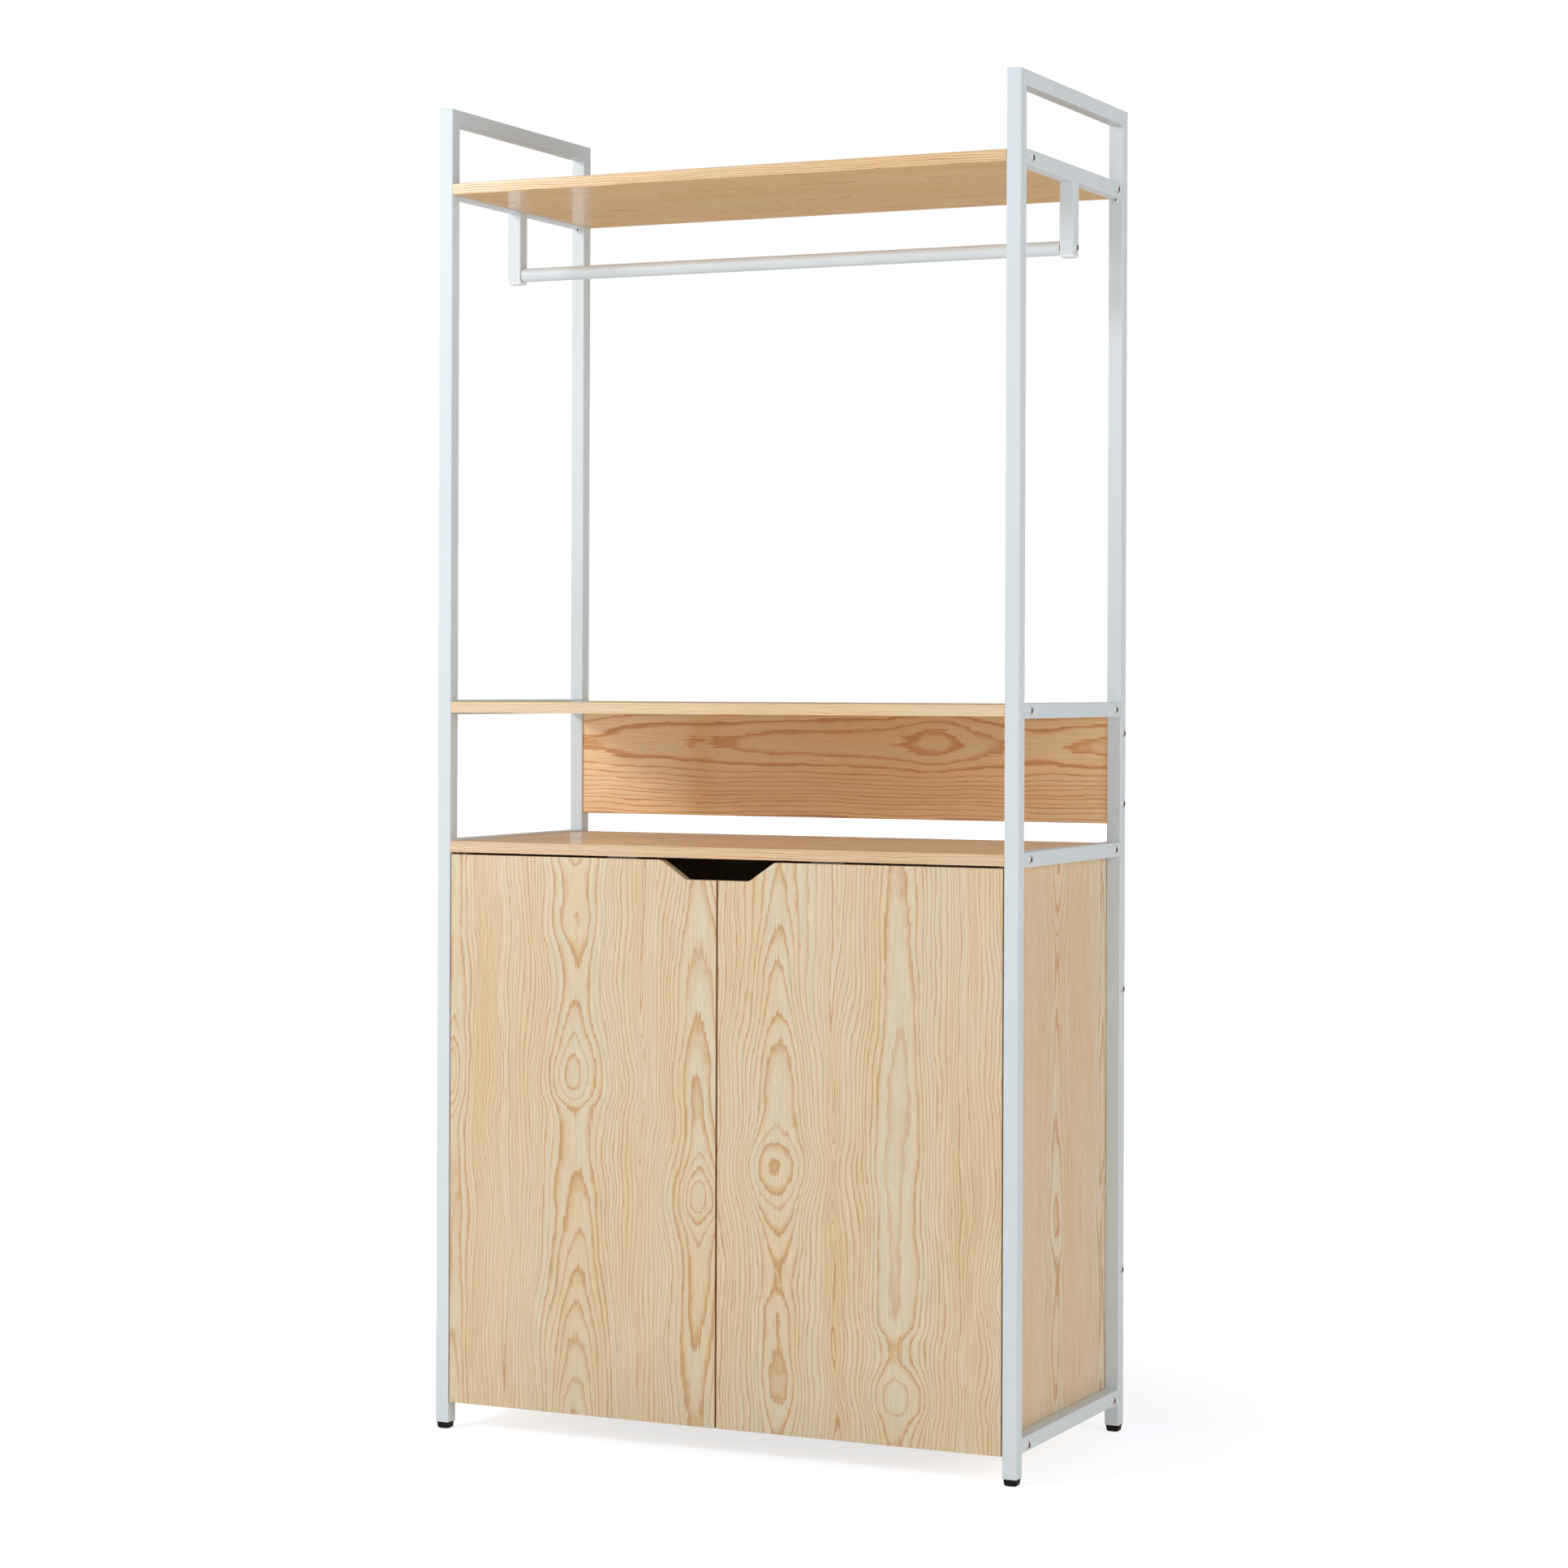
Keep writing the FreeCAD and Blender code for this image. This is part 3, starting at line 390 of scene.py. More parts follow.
class Board(NamedTuple):
    """One board's laminate: its axes along the grain, across it and through it, and its figures.

    The tint multiplies its colours; on the backboard, the top shelf and the cabinet top it also
    paints light and shade. Spread, sway and depth scale the ring spacing, the drift of the figures
    and the strength of the ring lines. Edge is the tint of the narrow edges that run along the
    grain: painted shade on the doors, and on the top shelf and the cabinet top it takes part of
    the tint's painted shade or light back off the edges.
    """

    along: str
    across: str
    through: str
    courses: tuple
    tint: tuple = (1.0, 1.0, 1.0)
    spread: float = 1.0
    sway: float = 1.0
    depth: float = 1.0
    edge: tuple = (1.0, 1.0, 1.0)


def door_board(word):
    """A door's laminate, with painted shade on its edges along the grain."""
    return Board("Z", "X", "Y", DOOR_COURSES[word], edge=(0.82, 0.68, 0.56))


def long_board(**looks):
    """Laminate of a shelf or another flat board, whose grain runs along the stand."""
    return Board("X", "Y", "Z", LONG_COURSES, **looks)


SIDE_PANEL = Board("Z", "Y", "X", PANEL_COURSES, tint=(1.07, 1.055, 1.075), depth=1.7)
BOARDS = {
    "left_door": door_board("left"),
    "right_door": door_board("right"),
    "left_side_panel": SIDE_PANEL,
    "right_side_panel": SIDE_PANEL,
    "back_panel": Board("Z", "X", "Y", TALL_COURSES),
    # Painted warm shade and bounce light: the backboard's tint reddens it
    "compartment_backboard": Board(
        "X", "Z", "Y", BACKBOARD_COURSES, tint=(1.19, 1.00, 0.76), spread=2.36, sway=0.4, depth=1.9
    ),
    # Painted warm shade on the top shelf's underside: its tint warms the board, and its edge
    # colour takes part of that back off the edges
    "top_shelf": long_board(tint=(1.06, 0.88, 0.65), sway=0.3, depth=2.6, edge=(0.99, 1.08, 1.22)),
    "middle_shelf": long_board(tint=(1.05, 1.02, 0.97), sway=0.3),
    # Painted light on the cabinet top: its tint lightens the board, and its edge colour takes most
    # of that back off the edges
    "cabinet_top": long_board(
        tint=(1.16, 1.09, 1.07), sway=0.3, depth=1.4, edge=(0.87, 0.85, 0.82)
    ),
    "cabinet_bottom": long_board(),
    "inner_shelf": long_board(),
}
SEED_STEP = 3.7
# Width over which a board's edge colour fades in: painted shade on the doors' edges, and part of
# the painted light and shade taken back on the top shelf and cabinet top
EDGE_SHADE = 0.0002

# How a figure's rings bend: the share that comes to a point, and how round that point is
SHARP_SHARE = 0.08
TIP_ROUNDING = 0.14
# Rings over which two figures run into each other, and how fast a figure's lift and the
# nearness to its middle fade sideways
BLEND_RINGS = 1.5
LIFT_FADE = -1.0
NEARNESS_FADE = -2.6
# The depths, in rings, that a course may have
COURSE_LOW = -5.0
COURSE_HIGH = 6.0

# Noises in the print: scale across the grain, scale along it, detail
FIBRE = (820, 26, 1.0)
STREAK = (420, 11, 1.0)
CLOUD = (26, 2.6, 1.0)
JAG = (95, 46, 2.0)
SLOW_DRIFT = (13, 5.5, 1.0)
QUICK_DRIFT = (60, 19, 1.0)
# Noises from ring to ring: scale, spread in rings
CROWDING = (0.16, 2.6)
UNEVENNESS = (0.9, 0.5)
# How one number follows another: slope, base
JAG_BY_NEARNESS = (0.14, 0.18)
FRAY_BY_NEARNESS = (0.08, 0.26)
LINE_BY_NEARNESS = (0.26, 0.44)
LINE_BY_CLOUD = (0.9, 0.5)
LINE_BY_FIBRE = (0.9, 0.55)
BAND_BY_NEARNESS = (-0.3, 0.45)
GREY_BY_GRAIN = (0.20, 0.80)
# The same, as slopes alone
LINE_BY_CHANCE = 0.62
BAND_BY_CHANCE = 0.5
ROUGH_BY_LINE = 0.08
# Ramps over one ring and over the clouds: place, grey
BAND_RAMP = ((0, 0.5), (0.09, 0), (0.38, 0.1), (0.86, 1), (0.95, 0.9), (1, 0.5))
LINE_RAMP = ((0, 0.15), (0.05, 0), (0.62, 0), (0.80, 0.4), (0.91, 1), (0.97, 0.85), (1, 0.15))
CLOUD_RAMP = ((0.42, 0), (0.68, 0.55))


def course_depth(shader, along, course):
    """How many rings deep the cut lies along the grain, as a smooth curve through the course."""
    start, end = course[0][0], course[-1][0]
    curve = shader.node("ShaderNodeFloatCurve", {"Value": shader.span(along, start, end)})
    points = curve.mapping.curves[0].points
    shares = [((place - start) / (end - start), (rings - COURSE_LOW) / (COURSE_HIGH - COURSE_LOW))
              for place, rings in course]
    points[0].location = shares[0]
    points[-1].location = shares[-1]
    for place, height in shares[1:-1]:
        points.new(place, height)
    curve.mapping.update()
    return shader.add(shader.scale(curve.outputs[0], COURSE_HIGH - COURSE_LOW), COURSE_LOW)


def ring_field(shader, along, across, courses, spacing):
    """Ring number at each point, and how near the point is to the middle of a figure."""
    plain, lift, nearness = None, None, None
    for centre, flare, course in courses:
        offset = shader.scale(shader.add(across, -centre), 1 / flare)
        squared = shader.math("MULTIPLY", offset, offset)
        round_part = shader.math("SQRT", shader.add(squared, 1))
        sharp_part = shader.math("SQRT", shader.add(squared, TIP_ROUNDING ** 2))
        bottom = SHARP_SHARE * (1 - TIP_ROUNDING) - 1
        pointed = shader.linear(sharp_part, SHARP_SHARE, bottom)
        bowl = shader.linear(round_part, 1 - SHARP_SHARE, pointed)
        bowl = shader.scale(bowl, flare / spacing)
        plain = bowl if plain is None else shader.math("SMOOTH_MIN", plain, bowl, BLEND_RINGS)
        weight = shader.math("EXPONENT", shader.scale(squared, LIFT_FADE))
        raised = shader.math("MULTIPLY", weight, course_depth(shader, along, course))
        lift = raised if lift is None else shader.add(lift, raised)
        near = shader.math("EXPONENT", shader.scale(squared, NEARNESS_FADE))
        nearness = near if nearness is None else shader.math("MAXIMUM", nearness, near)
    return shader.add(plain, lift), nearness


def laminate_group(settings):
    """Node group that turns a ring number into the printed wood's colour, roughness and relief."""
    tree = bpy.data.node_groups.new("wood_print", "ShaderNodeTree")
    numbers = ("Rings", "Nearness", "Along", "Across", "Depth")
    sockets = [(name, "INPUT", "Float") for name in numbers]
    sockets += [("Tint", "INPUT", "Color"), ("Colour", "OUTPUT", "Color")]
    sockets += [("Roughness", "OUTPUT", "Float"), ("Height", "OUTPUT", "Float")]
    for name, way, kind in sockets:
        tree.interface.new_socket(name, in_out=way, socket_type=f"NodeSocket{kind}")
    shader = Shader(tree)
    given = shader.node("NodeGroupInput").outputs
    rings, nearness, along, across, depth = (given[name] for name in numbers)
    fibre, streak, cloud, jag = (
        shader.stretched_noise(across, along, grain) for grain in (FIBRE, STREAK, CLOUD, JAG)
    )

    jagged = shader.centred(jag, shader.linear(nearness, *JAG_BY_NEARNESS))
    frayed = shader.centred(streak, shader.linear(nearness, *FRAY_BY_NEARNESS))
    crowded, uneven = (
        shader.centred(shader.noise(rings, scale, detail=0.0), spread)
        for scale, spread in (CROWDING, UNEVENNESS)
    )
    off_line = shader.add(frayed, shader.add(crowded, uneven))
    count = shader.add(shader.add(rings, jagged), off_line)
    position = shader.math("FRACT", count)
    whole = shader.math("FLOOR", count)
    draw = shader.node("ShaderNodeTexWhiteNoise", {"W": whole}, noise_dimensions="1D")
    chance = draw.outputs["Value"]

    strength = shader.linear(chance, LINE_BY_CHANCE, shader.linear(nearness, *LINE_BY_NEARNESS))
    faded = shader.scale(strength, shader.linear(cloud, *LINE_BY_CLOUD))
    grained = shader.scale(faded, shader.linear(fibre, *LINE_BY_FIBRE))
    line = shader.scale(shader.ramp(position, LINE_RAMP), shader.scale(grained, depth))
    share = shader.linear(chance, BAND_BY_CHANCE, shader.linear(nearness, *BAND_BY_NEARNESS))
    band = shader.scale(shader.ramp(position, BAND_RAMP), share)

    ground = shader.mix(nearness, settings.early, settings.figure)
    ground = shader.mix(shader.ramp(cloud, CLOUD_RAMP), ground, settings.warm)
    wood = shader.mix(band, ground, settings.warm)
    dark = shader.mix(nearness, settings.late, settings.flame)
    wood = shader.mix(shader.math("MINIMUM", line, 1.0), wood, dark)
    shade = shader.grey(shader.linear(shader.add(fibre, streak), *GREY_BY_GRAIN))
    wood = shader.mix(1.0, wood, shade, "MULTIPLY")
    wood = shader.mix(1.0, wood, given["Tint"], "MULTIPLY")
    rough = shader.linear(line, ROUGH_BY_LINE, settings.roughness)
    shader.node("NodeGroupOutput", {"Colour": wood, "Roughness": rough, "Height": fibre})
    return tree


def wood_material(name, board, group, settings, seed):
    """Laminate for one board, whose figures lie where its courses say."""
    material, shader = new_material(name)
    axes = shader.object_axes()
    low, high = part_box(name)
    middle = ((low + high) / 2)["XYZ".index(board.through)]
    across = shader.add(shader.add(axes[board.across], axes[board.through]), -middle)
    shifted = shader.add(axes[board.along], seed)
    slow = shader.stretched_noise(across, shifted, SLOW_DRIFT)
    quick = shader.stretched_noise(across, shifted, QUICK_DRIFT)
    drift = shader.add(
        shader.centred(slow, settings.sway * board.sway), shader.centred(quick, settings.wobble)
    )
    rings, nearness = ring_field(
        shader, axes[board.along], shader.add(across, drift), board.courses,
        settings.spacing * board.spread,
    )
    printed = shader.node("ShaderNodeGroup", node_tree=group)
    given = {
        "Rings": shader.add(rings, seed),
        "Nearness": nearness,
        "Along": shifted,
        "Across": across,
        "Depth": board.depth,
        "Tint": board.tint,
    }
    for key, value in given.items():
        shader.put(printed.inputs[key], value)
    # Painted shade: the board's edge colour multiplies the narrow edges along the grain, or takes
    # back part of the tint's painted light and shade
    index = "XYZ".index(board.across)
    half_width = (high[index] - low[index]) / 2
    offset = shader.math("ABSOLUTE", shader.add(axes[board.across], -(low[index] + half_width)))
    on_edge = shader.span(offset, half_width - EDGE_SHADE * 2, half_width - EDGE_SHADE)
    wood = shader.mix(on_edge, printed.outputs["Colour"], board.edge, "MULTIPLY")
    relief = shader.bump(printed.outputs["Height"], settings.relief)
    shader.cover(wood, printed.outputs["Roughness"], relief)
    shader.surface.inputs["Specular IOR Level"].default_value = settings.gloss
    return material


# Other finishes

# Powder coat: noise scales, ramps over them, and what they change
COAT_CLOUD_SCALE = 9.0
COAT_SPECK_SCALE = 1400.0
COAT_THIN_RAMP = ((0.38, 0), (0.72, 1))
COAT_SPECK_RAMP = ((0.70, 0), (0.80, 1))
COAT_THIN_SHARE = 0.6
COAT_SPECK_SHARE = 0.25
COAT_ROUGH_BY_CLOUD = 0.12

# Metal
METAL_PATCH_SCALE = 220.0
METAL_DULL_SHARE = 0.8
METAL_ROUGH_BY_MARKS = 0.2
METAL_MARK_DEPTH = 0.00001
METAL_EDGE_RADIUS = 0.0002

# Plastic
PLASTIC_WEAR_SCALE = 60.0
PLASTIC_WEAR_GAIN = 1.12
PLASTIC_WEAR_LIFT = 0.006
PLASTIC_ROUGH_BY_WEAR = 0.15
PLASTIC_SPARK_DEPTH = 0.00003
PLASTIC_EDGE_RADIUS = 0.0004

# Beech
BEECH_FLECK_SCALES = {"X": 700, "Y": 700, "Z": 60}
BEECH_PALE = (0.66, 0.46, 0.29)
BEECH_DARK = (0.50, 0.31, 0.18)
BEECH_ROUGHNESS = 0.7
BEECH_FLECK_DEPTH = 0.0001


def powder_coat(settings):
    """White powder coat: fine orange peel, with thin spots and specks."""
    material, shader = new_material("white_powder_coat")
    place = shader.object_place()
    peel = shader.noise(place, 1 / settings.texture_size, roughness=0.6)
    cloud = shader.noise(place, COAT_CLOUD_SCALE, detail=3.0)
    thin = shader.ramp(cloud, COAT_THIN_RAMP)
    speck = shader.ramp(shader.noise(place, COAT_SPECK_SCALE, detail=0.0), COAT_SPECK_RAMP)
    coat = shader.mix(shader.scale(thin, COAT_THIN_SHARE), settings.white, settings.shade)
    coat = shader.mix(shader.scale(speck, COAT_SPECK_SHARE), coat, settings.shade)
    rough = shader.linear(cloud, COAT_ROUGH_BY_CLOUD, settings.roughness)
    rounded = shader.soft_edges(settings.edge_radius)
    shader.cover(coat, rough, shader.bump(peel, settings.texture_depth, rounded))
    return material


def metal(name, base, roughness, mark_scale, metallic=1.0):
    """Plated steel with faint rubbing marks."""
    material, shader = new_material(name)
    place = shader.object_place()
    marks = shader.noise(place, mark_scale, detail=4.0, roughness=0.7)
    patches = shader.noise(place, METAL_PATCH_SCALE)
    dull = tuple(part * METAL_DULL_SHARE for part in base)
    rough = shader.linear(marks, METAL_ROUGH_BY_MARKS, roughness)
    relief = shader.bump(marks, METAL_MARK_DEPTH, shader.soft_edges(METAL_EDGE_RADIUS))
    shader.cover(shader.mix(patches, base, dull), rough, relief)
    shader.surface.inputs["Metallic"].default_value = metallic
    return material


def plastic(name, base, roughness, spark_scale, gloss=0.5):
    """Moulded plastic with a fine spark texture."""
    material, shader = new_material(name)
    place = shader.object_place()
    spark = shader.noise(place, spark_scale, roughness=0.6)
    worn = shader.noise(place, PLASTIC_WEAR_SCALE, detail=3.0)
    paler = tuple(min(1.0, part * PLASTIC_WEAR_GAIN + PLASTIC_WEAR_LIFT) for part in base)
    rough = shader.linear(worn, PLASTIC_ROUGH_BY_WEAR, roughness)
    relief = shader.bump(spark, PLASTIC_SPARK_DEPTH, shader.soft_edges(PLASTIC_EDGE_RADIUS))
    shader.cover(shader.mix(worn, base, paler), rough, relief)
    shader.surface.inputs["Specular IOR Level"].default_value = gloss
    return material


def beech(name):
    """Plain turned beech of the dowels."""
    material, shader = new_material(name)
    axes = shader.object_axes()
    stretched = (shader.scale(axes[key], scale) for key, scale in BEECH_FLECK_SCALES.items())
    flecks = shader.noise(shader.vector(*stretched), 1.0, detail=3.0)
    wood = shader.mix(flecks, BEECH_PALE, BEECH_DARK)
    shader.cover(wood, BEECH_ROUGHNESS, shader.bump(flecks, BEECH_FLECK_DEPTH))
    return material


def dress(names, material):
    """Gives CAD nodes a material."""
    for name in names:
        mesh = NODES[name].data
        mesh.materials.clear()
        mesh.materials.append(material)


def names_ending(*endings):
    """The nodes whose name ends in one of the words."""
    return [name for name in NODES if name.endswith(endings)]


# New pieces

MERGE_DISTANCE = 1e-7
TIP_TOLERANCE = 1e-5
TIP_SPACING = 1e-3
DOME_RINGS = 7
# Shares of a recess's slot width or depth, and how far its walls draw in at the bottom
PIT_WIDTH = 1.7
PIT_DEPTH = 2.1
PIT_TAPER = 0.5
ARM_DEPTH = 2.0
ARM_END_TAPER = 0.55
ARM_SIDE_TAPER = 0.8
# Share of the recess depth under which faces take the black painted shade
RECESS_RIM = 0.25
# Angle by which each screw is turned on from the one before
GOLDEN_TURN = math.radians(137.5)


def linked(name, data):
    """Object with this data, in the scene."""
    made = bpy.data.objects.new(name, data)
    bpy.context.scene.collection.objects.link(made)
    return made


def shape_object(name, shape, materials, body):
    """Turns a bmesh into a finished piece that rides on a body."""
    mesh = bpy.data.meshes.new(name)
    bmesh.ops.remove_doubles(shape, verts=shape.verts, dist=MERGE_DISTANCE)
    bmesh.ops.recalc_face_normals(shape, faces=shape.faces)
    shape.to_mesh(mesh)
    shape.free()
    for material in materials:
        mesh.materials.append(material)
    piece = linked(name, mesh)
    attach(piece, body)
    return piece


def spun(profile, segments):
    """Round solid from an (out, up) profile that starts and ends on the axis."""
    shape = bmesh.new()
    verts = [shape.verts.new((out, 0, up)) for out, up in profile]
    edges = [shape.edges.new(pair) for pair in zip(verts, verts[1:])]
    bmesh.ops.spin(
        shape, geom=verts + edges, cent=(0, 0, 0), axis=(0, 0, 1), dvec=(0, 0, 0),
        angle=math.tau, steps=segments, use_merge=True, use_duplicate=False,
    )
    bmesh.ops.remove_doubles(shape, verts=shape.verts, dist=MERGE_DISTANCE)
    bmesh.ops.recalc_face_normals(shape, faces=shape.faces)
    return shape


def dome_profile(radius, edge, height, rings):
    """Points over a domed head, from its crown to its underside's axis."""
    rise = height - edge
    ball = (radius ** 2 + rise ** 2) / (2 * rise)
    points = []
    for index in range(rings + 1):
        out = radius * math.sin(math.pi / 2 * index / rings)
        points.append((out, height - ball + math.sqrt(ball ** 2 - out ** 2)))
    return points


def tapered_block(shape, matrix, size, top, taper):
    """Adds a block whose lower end is scaled by the taper."""
    made = bmesh.ops.create_cube(shape, size=1.0, matrix=matrix @ Matrix.Diagonal((*size, 1)))
    floor = [vert for vert in made["verts"] if vert.co.z < top]
    bmesh.ops.scale(shape, vec=taper, verts=floor)


def cross_cutter(width, slot, depth, top):
    """Tapered cross with a pit in the middle, which cuts the recess of a head."""
    shape = bmesh.new()
    at_top = Matrix.Translation((0, 0, top))
    pit = (slot * PIT_WIDTH, slot * PIT_WIDTH, depth * PIT_DEPTH)
    turned = Matrix.Rotation(math.pi / 4, 4, "Z") @ at_top
    tapered_block(shape, turned, pit, top, (PIT_TAPER, PIT_TAPER, 1))
    arm = (width, slot, depth * ARM_DEPTH)
    for turn, taper in (
        (0, (ARM_END_TAPER, ARM_SIDE_TAPER, 1)), (math.pi / 2, (ARM_SIDE_TAPER, ARM_END_TAPER, 1))
    ):
        turned = Matrix.Rotation(turn, 4, "Z") @ at_top
        tapered_block(shape, turned, arm, top, taper)
    return shape


def cut_by(shape, cutter):
    """The first bmesh with the second cut out of it."""
    objects = []
    for name, source in (("cut_body", shape), ("cut_tool", cutter)):
        mesh = bpy.data.meshes.new(name)
        source.to_mesh(mesh)
        source.free()
        objects.append(linked(name, mesh))
    body, tool = objects
    boolean = body.modifiers.new("recess", "BOOLEAN")
    boolean.operation = "DIFFERENCE"
    boolean.solver = "EXACT"
    boolean.use_self = True
    boolean.object = tool
    bpy.context.view_layer.update()
    result = bmesh.new()
    result.from_object(body, bpy.context.evaluated_depsgraph_get())
    for made in objects:
        mesh = made.data
        bpy.data.objects.remove(made)
        bpy.data.meshes.remove(mesh)
    return result


def screw_shape(radius, edge, height, recess, shank_radius, shank_length, segments):
    """Screw along Z, its head above the origin, with a cross recess (width, slot, depth)."""
    profile = dome_profile(radius, edge, height, DOME_RINGS)
    profile += [(radius, 0), (shank_radius, 0), (shank_radius, -shank_length), (0, -shank_length)]
    head = spun(profile, segments)
    width, slot, depth = recess
    screw = cut_by(head, cross_cutter(width, slot, depth, height))
    # Faces deep in the recess take the second material, which is black painted shade
    for face in screw.faces:
        middle = face.calc_center_median()
        out = math.hypot(middle.x, middle.y)
        recessed = out < width / 2 and middle.z < height - depth * RECESS_RIM
        face.material_index = int(recessed)
        face.smooth = not face.material_index
    return screw


def copies(source, places):
    """One bmesh with a copy of the source at each matrix."""
    mesh = bpy.data.meshes.new("copy_source")
    source.to_mesh(mesh)
    source.free()
    shape = bmesh.new()
    for matrix in places:
        before = len(shape.verts)
        shape.from_mesh(mesh)
        shape.verts.ensure_lookup_table()
        bmesh.ops.transform(shape, matrix=matrix, verts=shape.verts[before:])
    bpy.data.meshes.remove(mesh)
    return shape


def facing(direction, place, turn=0.0):
    """Matrix that turns +Z to a direction, spins about it and moves to a place."""
    tilt = Vector((0, 0, 1)).rotation_difference(Vector(direction)).to_matrix().to_4x4()
    return Matrix.Translation(place) @ tilt @ Matrix.Rotation(turn, 4, "Z")


def crowns(node, side):
    """The crown of each screw head in a node, found as its outermost points."""
    points = [vert.co for vert in NODES[node].data.vertices]
    reach = max(point.x * side for point in points)
    tips = [point for point in points if point.x * side > reach - TIP_TOLERANCE]
    found = []
    for tip in tips:
        if all((tip - other).length > TIP_SPACING for other in found):
            found.append(tip.copy())
    return sorted(found, key=lambda point: (round(point.z, 4), round(point.y, 4)))


# Operators

class HALLSTAND_OT_boards(bpy.types.Operator):
    """Gives every board its printed wood laminate"""

    bl_idname = "hall_stand.boards"
    bl_label = "Boards"

    def execute(self, context):
        settings = context.scene.hall_stand_wood
        group = laminate_group(settings)
        for seed, (name, board) in enumerate(BOARDS.items()):
            dress([name], wood_material(name, board, group, settings, seed * SEED_STEP))
        dress(["dowels"], beech("dowel_beech"))
        return {"FINISHED"}


class HALLSTAND_OT_side_frames(bpy.types.Operator):
    """Powder-coats the side frames, the hanging brackets and the clothes rail"""

    bl_idname = "hall_stand.side_frames"
    bl_label = "Side frames"

    def execute(self, context):
        coat = powder_coat(context.scene.hall_stand_coat)
        dress(names_ending("_post", "_rail", "_hanging_bracket"), coat)
        return {"FINISHED"}


class HALLSTAND_OT_fittings(bpy.types.Operator):
    """Finishes the plugs, caps, feet, hinges, catches and inserts"""

    bl_idname = "hall_stand.fittings"
    bl_label = "Fittings"

    def execute(self, context):
        settings = context.scene.hall_stand_fittings
        white = plastic(
            "white_plastic", settings.white_plastic, roughness=0.35, spark_scale=1500.0
        )
        catch = plastic("catch_plastic", settings.catch_plastic, roughness=0.45, spark_scale=900.0)
        black = plastic(
            "foot_plastic", settings.foot_plastic, roughness=0.36, spark_scale=1100.0,
            gloss=settings.foot_gloss,
        )
        nickel = metal("hinge_nickel", settings.nickel, roughness=0.22, mark_scale=700.0)
        zinc = metal("insert_zinc", settings.zinc, roughness=0.35, mark_scale=500.0)
        dress(names_ending("_cap", "rail_plug", "post_plugs"), white)
        dress(names_ending("magnetic_catch"), catch)
        dress(names_ending("_foot"), black)
        dress(names_ending("hinge_cup", "hinge_arm", "hinge_pins", "strike_plate"), nickel)
        dress(names_ending("shelf_pegs"), nickel)
        dress(names_ending("threaded_inserts"), zinc)
        return {"FINISHED"}


class HALLSTAND_OT_frame_screws(bpy.types.Operator):
    """Makes the cross-recessed screws through the side frames"""

    bl_idname = "hall_stand.frame_screws"
    bl_label = "Frame screws"

    # Shares of a head's height and radius
    HEAD_EDGE = 1 / 4
    SHANK_RADIUS = 1 / 2

    def execute(self, context):
        settings = context.scene.hall_stand_fittings
        zinc = metal(
            "screw_zinc", settings.zinc, roughness=0.24, mark_scale=900.0, metallic=0.55
        )
        # Black painted shade for the faces deep in each recess
        dark = plastic("screw_recess", settings.recess, roughness=0.5, spark_scale=900.0)
        recess = (settings.recess_width, settings.recess_slot, settings.recess_depth)
        for word, side in SIDES.items():
            radius = self.head_radius(word)
            post_face = abs(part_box(f"{word}_front_post")[0 if side < 0 else 1].x)
            for kind in ("frame_screws", "rail_screw"):
                node = f"{word}_{kind}"
                low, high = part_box(node)
                height = max(abs(low.x), abs(high.x)) - post_face
                screw = screw_shape(
                    radius, height * self.HEAD_EDGE, height, recess,
                    radius * self.SHANK_RADIUS, (high.x - low.x) - height, settings.segments,
                )
                places = [
                    facing((side, 0, 0), tip - Vector((side * height, 0, 0)), GOLDEN_TURN * turn)
                    for turn, tip in enumerate(crowns(node, side), start=1)
                ]
                piece = shape_object(
                    f"{node}_recessed", copies(screw, places), (zinc, dark),
                    "carcass",
                )
                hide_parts(node)
        return {"FINISHED"}

    def head_radius(self, word):
        """Half the height of the single screw through a hanging bracket."""
        low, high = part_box(f"{word}_rail_screw")
        return (high.z - low.z) / 2


